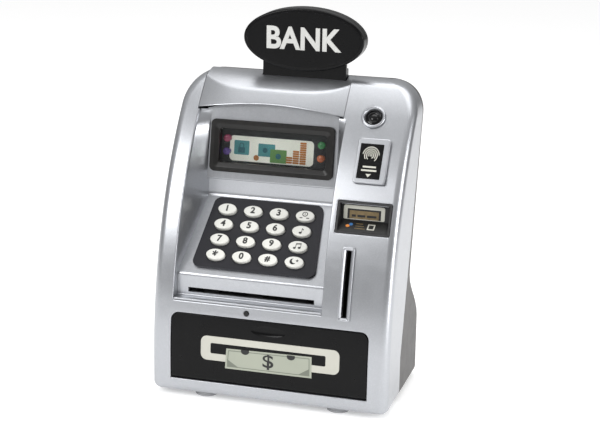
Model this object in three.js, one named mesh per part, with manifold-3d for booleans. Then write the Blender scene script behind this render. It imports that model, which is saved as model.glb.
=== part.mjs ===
// Toy cash machine savings bank: a two-part moulded housing with a recessed keypad bay, an oval sign,
// sixteen sprung keys, note and coin slots, a motorised note feed and a locking money door.
// Millimetres, +Z up, the front faces -Y. Depths (y) are counted from the front face at the door,
// and the last group centres the model on its own footprint.
import * as THREE from "three";
import { mergeVertices } from "three/addons/utils/BufferGeometryUtils.js";
import Module from "manifold-3d";

const wasm = await Module();
wasm.setup();

// ---------------------------------------------------------------- driving dimensions
const WIDTH = 154; // housing width
const DEPTH = 94.6; // housing depth at the foot
const TOP = 198.3; // height of the housing's top face
const FLOOR = 3.3; // underside of the housing, above the feet
const WALL = 2.5; // moulded wall thickness
const GAP = 0.3; // clearance between pieces that touch

const FACE_RADIUS = 243; // side-view radius of the curved front face
const FACE_START = 25; // height where the front face starts to lean back
const TOP_CORNER = 20; // radius of the two top corners in the front view
const FOOT_FILLET = 4.5; // rounding round the bottom edge
const FACE_FILLET = 6; // rounding between front face and sides
const PARTING_FOOT = 34.6; // depth of the parting line at the foot
const PARTING_SLOPE = 0.283; // lean of the parting line above PARTING_BEND
const PARTING_BEND = 30;

const BAY_X = -14.5; // centre of the keys and the display
const BAY_LEFT = -63.3; // the bay's opening in the front face
const BAY_RIGHT = 33.4;
const BAY_FLOOR = 63.5; // height of the bay's shelf
const BAY_TOP = 176; // height where the bay meets the hood
const BAY_DRAFT = { left: 0.157, right: 0.11 }; // how much the bay's sides lean in per millimetre of depth
const NOTE_WALL = 10.8; // depth of the upright wall that holds the note slot
const NOTE_Z = 68.7; // height of the note slot
const SLOPE_FOOT = 78.8; // height where the keypad slope starts
const SLOPE_ANGLE = Math.PI / 4;
const SLOPE_RUN = 59; // length of the keypad slope
const PANEL_DEPTH = 49.5; // depth of the display panel at its foot
const PANEL_FOOT = 131.5;
const PANEL_TOP = 173.5;
const PANEL_LEAN = 0.16;

const KEY_PITCH_X = 17.2;
const KEY_PITCH_Y = 11.06;
const KEY_FIRST = 14; // distance of the lowest key row from the slope's foot
const KEY_A = 6.1; // half axes of the oval keys
const KEY_B = 3.8;
const KEY_PROUD = 2.5;

const DOOR_HALF = 63.7;
const DOOR_LOW = 12.6;
const DOOR_HIGH = 55.6;
const HINGE_Z = 14.6; // door hinge axis
const HINGE_Y = 2.25;
const BARREL = 1.95; // radius of the door's hinge barrel

const SIGN_Z = 221.2; // centre of the oval sign
const SIGN_A = 39.5;
const SIGN_B = 20;
const SIGN_FACE = 70;
const NECK_Y = 73.5; // the sign's neck, where it enters the roof
const NECK_THICK = 7;

const ROLLER_Y = 26; // note feed roller axis
const ROLLER_Z = 63;
const ROLLER_R = 5.5;
const PINCH_R = 4.5;
const GEAR_MODULE = 0.8;
const GEAR_TEETH = 20;
const PINION_TEETH = 12;

// ---------------------------------------------------------------- profiles of the housing
const rise = (z) => Math.max(z - FACE_START, 0);
const face = (z) => FACE_RADIUS - Math.sqrt(FACE_RADIUS ** 2 - rise(z) ** 2);
const faceLean = (z) => Math.asin(rise(z) / FACE_RADIUS); // angle from upright
const parting = (z) => PARTING_FOOT + PARTING_SLOPE * Math.max(z - PARTING_BEND, 0);
const smooth = (a, b, z) => {
  const t = Math.min(Math.max((z - a) / (b - a), 0), 1);
  return t * t * (3 - 2 * t);
};
// A quarter circle that eats into a width near the top edge.
const cornerLoss = (z, top, r) => (z > top - r ? r - Math.sqrt(Math.max(r * r - (z - top + r) ** 2, 0)) : 0);
const footLoss = (z) => cornerLoss(2 * FLOOR - z, FLOOR, FOOT_FILLET);
const halfWidth = (z) => WIDTH / 2 - cornerLoss(z, TOP, TOP_CORNER);
const rear = (z) =>
  Math.min(DEPTH, DEPTH - 23.9 * smooth(41, 80, z) + 0.245 * Math.max(z - 80, 0)) - cornerLoss(z, TOP, 16);
const rearRadius = (z) => 14 + 4 * smooth(45, 80, z);

// ---------------------------------------------------------------- solids and meshes
function toSolid(geometry) {
  const flat = geometry.index ? geometry.toNonIndexed() : geometry.clone();
  flat.deleteAttribute("normal");
  flat.deleteAttribute("uv");
  const merged = mergeVertices(flat, 1e-3);
  return new wasm.Manifold(
    new wasm.Mesh({
      numProp: 3,
      vertProperties: new Float32Array(merged.attributes.position.array),
      triVerts: new Uint32Array(merged.index.array),
    }),
  );
}

function toGeometry(solid) {
  const mesh = solid.getMesh();
  const geometry = new THREE.BufferGeometry();
  geometry.setAttribute("position", new THREE.BufferAttribute(mesh.vertProperties, 3));
  geometry.setIndex(new THREE.BufferAttribute(mesh.triVerts, 1));
  return geometry;
}

const joined = (...solids) => solids.reduce((a, b) => a.add(b));
const cut = (solid, ...tools) => tools.reduce((a, b) => a.subtract(b), solid);

const box = (x0, x1, y0, y1, z0, z1) =>
  toSolid(
    new THREE.BoxGeometry(x1 - x0, y1 - y0, z1 - z0).translate((x0 + x1) / 2, (y0 + y1) / 2, (z0 + z1) / 2),
  );

// Cylinders along the three axes, from a to b.
const alongZ = (r, x, y, a, b, n = 24) =>
  toSolid(new THREE.CylinderGeometry(r, r, b - a, n).rotateX(Math.PI / 2).translate(x, y, (a + b) / 2));
const alongY = (r, x, z, a, b, n = 24) =>
  toSolid(new THREE.CylinderGeometry(r, r, b - a, n).translate(x, (a + b) / 2, z));
const alongX = (r, y, z, a, b, n = 24) =>
  toSolid(new THREE.CylinderGeometry(r, r, b - a, n).rotateZ(Math.PI / 2).translate((a + b) / 2, y, z));

const shapeOf = (points) => new THREE.Shape(points.map(([u, v]) => new THREE.Vector2(u, v)));
const plainExtrude = (shape, depth, curveSegments = 6) =>
  new THREE.ExtrudeGeometry(shape, { depth, bevelEnabled: false, curveSegments });

// A (y, z) outline extruded from x = a to x = b.
const CYCLE = new THREE.Matrix4().makeBasis(
  new THREE.Vector3(0, 1, 0),
  new THREE.Vector3(0, 0, 1),
  new THREE.Vector3(1, 0, 0),
);
const sideExtrude = (points, a, b) =>
  toSolid(plainExtrude(shapeOf(points), b - a).applyMatrix4(CYCLE).translate(a, 0, 0));

// A flat shape in a tilted plane: local x stays x, local y climbs the plane, local z leaves it.
const inPlane = (geometry, tilt, x, y, z) => geometry.rotateX(tilt).translate(x, y, z);

function roundedShape(halfW, halfH, r, topInset = 0) {
  // topInset narrows the upper edge, for a trapezium.
  const shape = new THREE.Shape();
  const corners = [
    [-halfW, -halfH],
    [halfW, -halfH],
    [halfW - topInset, halfH],
    [-halfW + topInset, halfH],
  ].map(([u, v]) => new THREE.Vector2(u, v));
  corners.forEach((corner, i) => {
    const before = corners[(i + 3) % 4];
    const after = corners[(i + 1) % 4];
    const into = corner.clone().add(before.clone().sub(corner).setLength(r));
    const out = corner.clone().add(after.clone().sub(corner).setLength(r));
    if (i === 0) shape.moveTo(into.x, into.y);
    else shape.lineTo(into.x, into.y);
    shape.quadraticCurveTo(corner.x, corner.y, out.x, out.y);
  });
  shape.closePath();
  return shape;
}

function ellipseShape(a, b) {
  const shape = new THREE.Shape();
  shape.absellipse(0, 0, a, b, 0, 2 * Math.PI);
  return shape;
}

// A closed skin through rings of equal length, with a fan over each end ring.
function loft(rings) {
  const n = rings[0].length;
  const centre = (ring) => ring.reduce((s, p) => s.add(p), new THREE.Vector3()).divideScalar(n);
  const points = [...rings.flat(), centre(rings[0]), centre(rings.at(-1))];
  const index = [];
  rings.slice(1).forEach((_, k) => {
    for (let i = 0; i < n; i++) {
      const [a, b] = [k * n + i, k * n + ((i + 1) % n)];
      index.push(a, b, b + n, a, b + n, a + n);
    }
  });
  const last = (rings.length - 1) * n;
  for (let i = 0; i < n; i++) {
    index.push(points.length - 2, (i + 1) % n, i);
    index.push(points.length - 1, last + i, last + ((i + 1) % n));
  }
  const geometry = new THREE.BufferGeometry().setFromPoints(points);
  geometry.setIndex(index);
  return toSolid(geometry);
}

// A quarter turn of points round (x, y), from angle a.
const arc = (x, y, r, a, steps, z) =>
  Array.from({ length: steps + 1 }, (_, i) => {
    const t = a + (Math.PI / 2) * (i / steps);
    return new THREE.Vector3(x + r * Math.cos(t), y + r * Math.sin(t), z);
  });

const model = new THREE.Group();
model.position.y = -DEPTH / 2;

function place(name, solid, material) {
  const mesh = new THREE.Mesh(toGeometry(solid), material);
  mesh.name = name;
  model.add(mesh);
}

const paint = (color, roughness, metalness) => new THREE.MeshStandardMaterial({ color, roughness, metalness });
const SILVER = paint(0xb9bcc2, 0.35, 0.6);
const GREY_SHELL = paint(0x4a4849, 0.55, 0.1);
const BLACK = paint(0x1b1b1d, 0.4, 0);
const KEY_PLASTIC = paint(0xd8d8d2, 0.45, 0);
const RUBBER = paint(0x2b2b2b, 0.8, 0);
const FOOT_RUBBER = paint(0xa2a3a6, 0.7, 0);
const CLEAR = paint(0xe8eef0, 0.05, 0);
const CARD = paint(0xdcdcd4, 0.6, 0);
const BOARD = paint(0x2f6b3c, 0.5, 0);
const STEEL = paint(0x9a9a9a, 0.35, 0.9);
const NYLON = paint(0xe6e2d4, 0.5, 0);

// ---------------------------------------------------------------- housing
const FRONT_LEVELS = [
  0, 0.6, 1.8, 4.5, 22, PARTING_BEND - FLOOR, 45, 70, 95, 118, 140, 158, 170, 177, 182, 187, 191, 193.8, 195,
];

// Plan section of the front half at height z, taken in by an inset.
function frontRing(z, inset, front, back) {
  const w = halfWidth(z + inset) - inset;
  const r = Math.max(FACE_FILLET - inset, 0.8);
  return [
    ...arc(-w + r, front + r, r, Math.PI, 3, z),
    ...arc(w - r, front + r, r, 1.5 * Math.PI, 3, z),
    new THREE.Vector3(w, back, z),
    new THREE.Vector3(-w, back, z),
  ];
}

function frontBody() {
  const rings = FRONT_LEVELS.map((step) => {
    const z = FLOOR + step;
    const topIn = 6 * smooth(TOP - 3, TOP, z);
    return frontRing(z, footLoss(z), face(z) + footLoss(z) + topIn, parting(z));
  });
  return loft(rings);
}

function frontHollow() {
  const low = FLOOR + 2.2;
  const high = TOP - WALL;
  const rings = FRONT_LEVELS.map((step) => {
    const z = low + (step / FRONT_LEVELS.at(-1)) * (high - low);
    return frontRing(z, WALL, face(z) + WALL / Math.cos(faceLean(z)), parting(z) + 6);
  });
  return loft(rings);
}

const hoodLeft = -64.2;
const hoodRight = 32;
const postX = WIDTH / 2 - 8.5;
const postZ = 10.5;

function frontShell() {
  const bay = box(BAY_LEFT, BAY_RIGHT, -5, 130, BAY_FLOOR, BAY_TOP);
  const hoodSeat = box(hoodLeft, hoodRight, 30, 130, BAY_TOP - 0.1, 230);
  const doorway = box(-DOOR_HALF - GAP, DOOR_HALF + GAP, -5, 9, DOOR_LOW - GAP, DOOR_HIGH + GAP);
  const lensHole = inPlane(
    new THREE.CylinderGeometry(5.6, 5.6, 30, 24).rotateX(Math.PI / 2),
    Math.PI / 2 - faceLean(LENS_Z), LENS_X, face(LENS_Z), LENS_Z,
  );
  const tileHole = inPlane(
    new THREE.BoxGeometry(TILE_W - 3, TILE_H - 3, 30),
    Math.PI / 2 - faceLean(TILE_Z), TILE_X, face(TILE_Z), TILE_Z,
  );
  const readerHole = box(READER_X0, READER_X1, 5, 60, READER_Z0, READER_Z1);
  const coinHole = box(COIN_X - 2.6, COIN_X + 2.6, -5, 30, COIN_Z0 + 1, COIN_Z1 - 1);
  const lampHole = alongY(1.9, BAY_X, LAMP_Z, -3, 8, 16);
  const skin = cut(
    frontBody(), frontHollow(), bay, hoodSeat, doorway,
    toSolid(lensHole), toSolid(tileHole), readerHole, coinHole, lampHole,
  );
  const bridge = box(hoodLeft - 4, hoodRight + 4, NECK_Y - 2.2, 80.4, TOP - 7.6, TOP - 5.2);
  const bridgeSlot = box(-28.2, 28.2, NECK_Y - 0.4, 90, TOP - 10, TOP);
  const hinge = (side) =>
    box(...(side < 0 ? [-72.8, -DOOR_HALF - 1] : [DOOR_HALF + 1, 72.8]), 1.2, 5.4, HINGE_Z - 3, HINGE_Z + 3);
  const post = (side) =>
    cut(
      joined(
        alongY(4, side * postX, postZ, 18, PARTING_FOOT - GAP, 16),
        box(...(side < 0 ? [-73, -postX] : [postX, 73]), 18, PARTING_FOOT - GAP, FLOOR + 1, postZ + 1.5),
      ),
      alongY(1.2, side * postX, postZ, 22, 60, 12),
    );
  const pinHole = alongX(1.25, HINGE_Y, HINGE_Z, -71.4, 71.4, 16);
  return cut(joined(skin, cut(bridge, bridgeSlot), hinge(-1), hinge(1), post(-1), post(1)), pinHole);
}

// Plan section of the rear half: straight sides, then a large rounding into the back.
function rearRing(z, inset, front, back) {
  const w = Math.max(halfWidth(z + inset * 0.6) - inset, 20);
  const r = Math.max(Math.min(rearRadius(z), back - front - 0.4) - inset, 1);
  return [
    new THREE.Vector3(-w, front, z),
    new THREE.Vector3(w, front, z),
    ...arc(w - r, back - r, r, 0, 5, z),
    ...arc(-w + r, back - r, r, Math.PI / 2, 5, z),
  ];
}

const REAR_LEVELS = [
  0, 0.6, 1.8, 4.5, PARTING_BEND - FLOOR, 38, 46, 53, 61, 69, 78, 98, 120, 142, 160, 173, 180, 185, 189, 192,
  194, 195,
];
const BATTERY_HALF = 28.5; // battery well, half its length in x
const WELL_LOW = 6.2;
const WELL_HIGH = 51.5;
const WELL_FRONT = 73.3;
const COVER_LOW = 5.6;
const COVER_HIGH = 53.2;

function rearShell() {
  const outer = loft(
    REAR_LEVELS.map((step) => {
      const z = FLOOR + step;
      // At the very top the rounding would reach past the parting line, so a narrow strip is left there.
      return rearRing(z, footLoss(z), parting(z) + GAP, Math.max(rear(z) - footLoss(z), parting(z) + GAP + 1.4));
    }),
  );
  const low = FLOOR + 2.2;
  const high = TOP - WALL - 0.5;
  const inner = loft(
    REAR_LEVELS.map((step) => {
      const z = low + (step / REAR_LEVELS.at(-1)) * (high - low);
      return rearRing(z, WALL, parting(z) - 6, rear(z + 1) - WALL);
    }),
  );
  const wellBox = box(-BATTERY_HALF - 1.6, BATTERY_HALF + 1.6, WELL_FRONT - 1.6, 99, FLOOR + 0.5, WELL_HIGH + 1.6);
  const well = box(-BATTERY_HALF, BATTERY_HALF, WELL_FRONT, 110, WELL_LOW, WELL_HIGH);
  const coverSeat = sideExtrude(coverOutline(GAP, 2.3, 4), -COVER_HALF - GAP, COVER_HALF + GAP);
  const posts = [-1, 1].map((side) =>
    joined(
      alongY(4, side * postX, postZ, PARTING_FOOT + GAP, 90, 16),
      box(...(side < 0 ? [-73, -postX] : [postX, 73]), PARTING_FOOT + GAP, 84, FLOOR + 1, postZ + 1.5),
    ),
  );
  const screwHoles = [-1, 1].flatMap((side) => [
    alongY(1.8, side * postX, postZ, 30, 110, 12),
    alongY(3.2, side * postX, postZ, 46, 110, 16),
  ]);
  const earSeat = box(30, EAR_X + 4.7, DEPTH - 3.7, 110, EAR_Z - 6.3, EAR_Z + 6.3);
  const earHole = alongY(1.5, EAR_X, EAR_Z, 60, 110, 12);
  const switchHole = box(SWITCH_X - 6.2, SWITCH_X + 6.2, 80, 110, SWITCH_Z - 2.2, SWITCH_Z + 2.2);
  const speakerHoles = [];
  for (let row = -2; row <= 2; row++)
    for (let column = -2; column <= 2; column++)
      if (Math.abs(row) + Math.abs(column) < 4)
        speakerHoles.push(alongY(1.1, SPEAKER_X + column * 5, SPEAKER_Z + row * 5, 60, 110, 6));
  const boss = box(29, EAR_X + 6, DEPTH - 10, DEPTH - 1, EAR_Z - 7.8, EAR_Z + 7.8);
  const clipped = wellBox.intersect(outer);
  return cut(
    joined(cut(outer, inner), clipped, ...posts.map((p) => p.intersect(outer)), boss),
    well, coverSeat, earSeat, ...screwHoles, earHole, switchHole, ...speakerHoles,
  );
}

// Side-view outline of the battery cover: it follows the rear profile, 'thick' deep, grown by 'grow'.
function coverOutline(grow, thick, outward = 0) {
  const steps = 8;
  const low = COVER_LOW - grow;
  const heights = Array.from({ length: steps + 1 }, (_, i) => low + ((COVER_HIGH + grow - low) * i) / steps);
  return [
    ...heights.map((z) => [rear(z) + outward, z]),
    ...heights.reverse().map((z) => [rear(z) - thick, z]),
  ];
}
const COVER_HALF = 31.5;
const EAR_X = 35.4; // the cover's screwed ear
const EAR_Z = 29;
const SWITCH_X = 50;
const SWITCH_Z = 32;
const SPEAKER_X = 0;
const SPEAKER_Z = 128;

// ---------------------------------------------------------------- right-hand column fittings
const LENS_X = 50.8;
const LENS_Z = 178.4;
const TILE_X = 54.8;
const TILE_Z = 154.2;
const TILE_W = 20.4;
const TILE_H = 29.4;
const READER_X0 = 36.8;
const READER_X1 = 71.4;
const READER_Z0 = 113;
const READER_Z1 = 131.8;
const COIN_X = 47.6;
const COIN_Z0 = 61.5;
const COIN_Z1 = 105.7;
const LAMP_Z = 59.6;

// Local frame on the front face at height z: local z points out of the face.
const onFace = (geometry, x, z) => toSolid(inPlane(geometry, Math.PI / 2 - faceLean(z), x, face(z), z));

function lensRing() {
  const profile = [
    [5.25, -3.2], [5.55, -3.2], [5.55, GAP], [7.7, GAP], [7.7, 0.9], [7.0, 1.7], [6.0, 1.7], [5.3, 0.6], [5.25, -3.2],
  ].map(([r, h]) => new THREE.Vector2(r, h));
  return onFace(new THREE.LatheGeometry(profile, 32).rotateX(Math.PI / 2), LENS_X, LENS_Z);
}

function lens() {
  const profile = [[0, -3], [4.95, -3], [4.95, -0.6], [3.4, 0.1], [1.6, 0.5], [0, 0.6]].map(
    ([r, h]) => new THREE.Vector2(r, h),
  );
  return onFace(new THREE.LatheGeometry(profile, 24).rotateX(Math.PI / 2), LENS_X, LENS_Z);
}

function touchTile() {
  const lip = plainExtrude(roundedShape(TILE_W / 2, TILE_H / 2, 1.8), 1.2).translate(0, 0, 0.95);
  const stem = new THREE.BoxGeometry(TILE_W - 4, TILE_H - 4, 5.4).translate(0, 0, -1.5);
  return joined(onFace(lip, TILE_X, TILE_Z), onFace(stem, TILE_X, TILE_Z));
}

function cardReader() {
  // A tub behind the opening: sloping ledge below, upright label wall behind.
  const back = 29;
  const x0 = READER_X0 + GAP;
  const x1 = READER_X1 - GAP;
  const z0 = READER_Z0 + GAP;
  const z1 = READER_Z1 - GAP;
  const outer = sideExtrude([[face(z0) + 0.5, z0], [back + 1.6, z0], [back + 1.6, z1], [face(z1) + 0.5, z1]], x0, x1);
  const hollow = sideExtrude([
    [face(z0) - 5, z0 + 0.8], [face(z0) + 1, z0 + 0.9], [back - 1.5, z0 + 5.6], [back, z1 - 1.2], [-5, z1 - 1.2],
  ], x0 + 1.2, x1 - 1.2);
  return cut(outer, hollow);
}

function coinFrame() {
  // A raised oblong collar that follows the face, with the coin slot through it.
  const zs = [COIN_Z0, 72, 84, 95, COIN_Z1];
  const collar = sideExtrude(
    [...zs.map((z) => [face(z) - 1.5, z]), ...zs.toReversed().map((z) => [face(z) - GAP, z])],
    COIN_X - 4, COIN_X + 4,
  );
  const sleeve = sideExtrude(
    [...[COIN_Z0 + 1.4, 84, COIN_Z1 - 1.4].map((z) => [face(z) - 0.9, z]),
      ...[COIN_Z1 - 1.4, 84, COIN_Z0 + 1.4].map((z) => [face(z) + 4.2, z])],
    COIN_X - 2.2, COIN_X + 2.2,
  );
  const slot = box(COIN_X - 1.7, COIN_X + 1.7, -10, 40, COIN_Z0 + 2.4, COIN_Z1 - 2.4);
  return cut(joined(collar, sleeve), slot);
}

function coinChute() {
  const outer = sideExtrude([[9.2, 60], [19.4, 107.5], [40, 107.5], [40, 55], [26, 55]], COIN_X - 3.6, COIN_X + 3.6);
  const hollow = sideExtrude([[4, 61.5], [10, 106], [38.6, 106], [38.6, 50], [27.6, 50]], COIN_X - 2.2, COIN_X + 2.2);
  return cut(outer, hollow);
}

// ---------------------------------------------------------------- keypad bay
const slopeTop = [NOTE_WALL + SLOPE_RUN * Math.cos(SLOPE_ANGLE), SLOPE_FOOT + SLOPE_RUN * Math.sin(SLOPE_ANGLE)];
const panelDepth = (z) => PANEL_DEPTH + PANEL_LEAN * (z - PANEL_FOOT);
const bayMiddle = (BAY_LEFT + BAY_RIGHT) / 2;
const cheekX = (side, y) => {
  const inward = Math.max(y - NOTE_WALL, 0);
  return side < 0 ? BAY_LEFT + 0.2 + BAY_DRAFT.left * inward : BAY_RIGHT - 0.2 - BAY_DRAFT.right * inward;
};
const sheetDepth = (z) => {
  if (z > PANEL_FOOT) return panelDepth(z);
  return NOTE_WALL + Math.min(Math.max(z - SLOPE_FOOT, 0), slopeTop[0] - NOTE_WALL);
};
const behindSkin = (z) => face(z) + WALL / Math.cos(faceLean(z)) + 0.4;
// Places a flat geometry on the keypad slope; local y is counted from the slope's foot.
const onSlope = (geometry, x, along, lift) =>
  toSolid(inPlane(geometry.translate(x, along, lift), SLOPE_ANGLE, 0, NOTE_WALL, SLOPE_FOOT));
// Places a flat geometry on the display panel; local y is counted from the panel's foot.
const PANEL_TILT = Math.PI / 2 - Math.atan(PANEL_LEAN);
const PANEL_STRETCH = Math.hypot(1, PANEL_LEAN); // length up the panel per millimetre of height
const onPanel = (geometry, x, along, lift) =>
  toSolid(inPlane(geometry.translate(x, along, lift), PANEL_TILT, 0, PANEL_DEPTH, PANEL_FOOT));

const PLATE_HALF_W = 40.2;
const PLATE_TOP_IN = 3.8;
const PLATE_LOW = 5.1;
const PLATE_HIGH = 56.6;
const plateMiddle = (PLATE_LOW + PLATE_HIGH) / 2;
const BEZEL_HALF = 41;
const BEZEL_LOW = 5.3;
const BEZEL_HIGH = 38.9;
const bezelMiddle = (BEZEL_LOW + BEZEL_HIGH) / 2;

function fascia() {
  const t = 2;
  const front = [
    [face(BAY_FLOOR) + 0.6, BAY_FLOOR + GAP], [face(BAY_FLOOR) + 0.6, BAY_FLOOR + 1.4], [NOTE_WALL, BAY_FLOOR + 1.4],
    [NOTE_WALL, SLOPE_FOOT], slopeTop, [slopeTop[0], PANEL_FOOT], [PANEL_DEPTH, PANEL_FOOT],
    [panelDepth(PANEL_TOP), PANEL_TOP],
  ];
  const behind = [
    [panelDepth(PANEL_TOP) + t, PANEL_TOP], [PANEL_DEPTH + t + 1.6, PANEL_FOOT + t],
    [slopeTop[0] + t, PANEL_FOOT + t], [slopeTop[0] + t, slopeTop[1] - 0.8],
    [NOTE_WALL + t, SLOPE_FOOT - 0.8], [NOTE_WALL + t, BAY_FLOOR + GAP],
  ];
  const sheet = sideExtrude([...front, ...behind], BAY_LEFT + 0.35, BAY_RIGHT - 0.35);
  // The cheeks close the bay's sides: from the edge of the opening, just behind the front skin, to the sheet.
  const cheek = (side) => {
    const heights = [BAY_FLOOR + GAP, 71, SLOPE_FOOT, 88, 98, 109, slopeTop[1], PANEL_FOOT - 0.1, PANEL_FOOT + 0.1, 143, 155,
      166, BAY_TOP - 0.4];
    const rings = heights.map((z) => {
      const [near, far] = [behindSkin(z), sheetDepth(z)];
      const edge = side < 0 ? BAY_LEFT - 0.1 : BAY_RIGHT + 0.1;
      const end = cheekX(side, far);
      const ring = [[edge, near], [end, far], [end, far + 0.9], [end + side * 1.4, far + 0.9], [edge + side * 1.4, near]];
      return (side < 0 ? ring : ring.reverse()).map(([x, y]) => new THREE.Vector3(x, y, z));
    });
    return loft(rings);
  };
  // The panel's upper edge follows the arched lower edge of the hood.
  const apronShape = new THREE.Shape();
  const steps = Array.from({ length: 13 }, (_, i) => -1 + i / 6);
  apronShape.moveTo(-42, 36);
  steps.forEach((u) => apronShape.lineTo(u * 43.5, (hoodLow(u) + 0.5 - 1.2 * u * u - PANEL_FOOT) * PANEL_STRETCH));
  apronShape.lineTo(42, 36);
  const apron = onPanel(plainExtrude(apronShape, 1.9), bayMiddle, 0, -1.9);
  const keyWindow = onSlope(
    plainExtrude(roundedShape(PLATE_HALF_W - 2.5, (PLATE_HIGH - PLATE_LOW) / 2 - 2.5, 4, PLATE_TOP_IN), 20),
    BAY_X, plateMiddle, -10,
  );
  const screenWindow = onPanel(
    plainExtrude(roundedShape(BEZEL_HALF - 2, (BEZEL_HIGH - BEZEL_LOW) / 2 - 2, 3), 20),
    BAY_X, bezelMiddle, -10,
  );
  const noteSlot = box(BAY_X - 41.2, BAY_X + 41.2, 0, 20, NOTE_Z - 1.5, NOTE_Z + 1.5);
  const bracket = (x, y1) =>
    cut(
      sideExtrude([[NOTE_WALL + 1, 57], [y1, 57], [y1, 71], [30, 78], [NOTE_WALL + 1, 78]], x, x + 1.6),
      alongX(1.7, ROLLER_Y, ROLLER_Z, x - 1, x + 3, 12),
      alongX(1.5, ROLLER_Y, PINCH_Z, x - 1, x + 3, 12),
      alongX(1.3, MOTOR_Y, ROLLER_Z, x - 1, x + 3, 12),
    );
  const brackets = [bracket(BRACKET_X0, 48), bracket(BRACKET_X1, 31)];
  return cut(joined(sheet, apron, cheek(-1), cheek(1), ...brackets), keyWindow, screenWindow, noteSlot);
}

function keypadPlate() {
  const shape = roundedShape(PLATE_HALF_W, (PLATE_HIGH - PLATE_LOW) / 2, 5, PLATE_TOP_IN);
  keyCentres().forEach(({ x, along }) => {
    const hole = new THREE.Path();
    hole.absellipse(x - BAY_X, along - plateMiddle, KEY_A + 0.35, KEY_B + 0.35, 0, 2 * Math.PI);
    shape.holes.push(hole);
  });
  return onSlope(plainExtrude(shape, 1.5, 6), BAY_X, plateMiddle, GAP);
}

const KEY_NAMES = [
  ["key_1", "key_2", "key_3", "key_deposit"],
  ["key_4", "key_5", "key_6", "key_song"],
  ["key_7", "key_8", "key_9", "key_music"],
  ["key_star", "key_0", "key_hash", "key_lullaby"],
];
function keyCentres() {
  return KEY_NAMES.flatMap((row, j) =>
    row.map((name, i) => ({ name, x: BAY_X + (i - 1.5) * KEY_PITCH_X, along: KEY_FIRST + (3 - j) * KEY_PITCH_Y })),
  );
}

// One turned profile, squeezed to an oval: a flange under the plate and a cap that stands proud of it.
function keyCap({ x, along }) {
  const profile = [
    [0, -2.6], [1.2, -2.6], [1.2, -1.5], [1, -1.5], [1, KEY_PROUD + 1.1], [0.95, KEY_PROUD + 1.6],
    [0.84, KEY_PROUD + 1.8], [0, KEY_PROUD + 1.8],
  ].map(([r, h]) => new THREE.Vector2(r, h));
  return onSlope(new THREE.LatheGeometry(profile, 16).rotateX(Math.PI / 2).scale(KEY_A, KEY_B, 1), x, along, 0);
}

function keyMat() {
  return onSlope(new THREE.BoxGeometry(74, 46, 1.2), BAY_X, plateMiddle - 0.3, -4.8);
}

function circuitBoard() {
  return onSlope(new THREE.BoxGeometry(76, 48, 1.6), BAY_X, plateMiddle - 0.3, -6.6);
}

function displayBezel() {
  const halfH = (BEZEL_HIGH - BEZEL_LOW) / 2;
  const outer = plainExtrude(roundedShape(BEZEL_HALF, halfH, 3.4), 1.4);
  const tube = plainExtrude(roundedShape(BEZEL_HALF - 2.4, halfH - 2.4, 2.6), 4.8).translate(0, 0, -4.4);
  const opening = plainExtrude(roundedShape(35.5, 11, 1.6), 20).translate(0, 0, -10);
  return cut(
    joined(onPanel(outer, BAY_X, bezelMiddle, GAP), onPanel(tube, BAY_X, bezelMiddle, GAP)),
    onPanel(opening, BAY_X, bezelMiddle, 0),
  );
}

const displayWindow = () => onPanel(plainExtrude(roundedShape(35.2, 10.7, 1.4), 1), BAY_X, bezelMiddle, -3.4);
const displayCard = () => onPanel(new THREE.BoxGeometry(77, 27, 1), BAY_X, bezelMiddle, -9.6);
const LAMPS = [
  { name: "led_red", x: -32.2, along: 4.3 },
  { name: "led_violet", x: -32.2, along: -4.2 },
  { name: "led_green", x: 30.6, along: 4.3 },
  { name: "led_amber", x: 30.6, along: -4.2 },
];
const lamp = ({ x, along }) => {
  const profile = [[0, -8.8], [2.4, -8.8], [2.4, -5.6], [1.7, -4.6], [0, -4.2]].map(
    ([r, h]) => new THREE.Vector2(r, h),
  );
  return onPanel(new THREE.LatheGeometry(profile, 16).rotateX(Math.PI / 2), BAY_X + x, bezelMiddle + along, 0);
};

// ---------------------------------------------------------------- hood and sign
// The hood's lower edge, arched, against its sideways position u from -1 to 1.
const hoodLow = (u) => BAY_TOP + 1 + 4.8 * (1 - u * u);

function hood() {
  const half = (hoodRight - hoodLeft) / 2 - GAP;
  const middle = (hoodLeft + hoodRight) / 2;
  const back = parting(TOP) - GAP;
  const rings = Array.from({ length: 17 }, (_, i) => {
    const u = Math.sin((-1 + i / 8) * (Math.PI / 2));
    const bulge = 5.5 * (1 - u ** 4);
    const low = hoodLow(u);
    const high = 194.8 - 4.8 * (1 - u ** 4);
    const skin = [0, 0.33, 0.67, 1].map((t) => {
      const z = low + t * (high - low);
      return [face(z) - bulge, z];
    });
    const roof = [0.3, 0.65, 1].map((t) => [
      skin[3][0] + t * (back - skin[3][0]),
      high + (TOP - high) * Math.sin((t * Math.PI) / 2),
    ]);
    const under = [
      [parting(TOP - 2.2) - GAP, TOP - 2.2], [NECK_Y - 2.7, TOP - 4.6],
      [skin[2][0] + 3.6, skin[2][1] - 1.2], [skin[1][0] + 3.4, skin[1][1] - 0.2], [skin[0][0] + 3.2, low],
    ];
    return [...skin, ...roof, ...under].map(([y, z]) => new THREE.Vector3(middle + u * half, y, z));
  });
  const neckSlot = box(-28, 28, NECK_Y - 0.3, NECK_Y + NECK_THICK + 0.3, TOP - 20, TOP + 10);
  return cut(loft(rings.reverse()), neckSlot);
}

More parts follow.
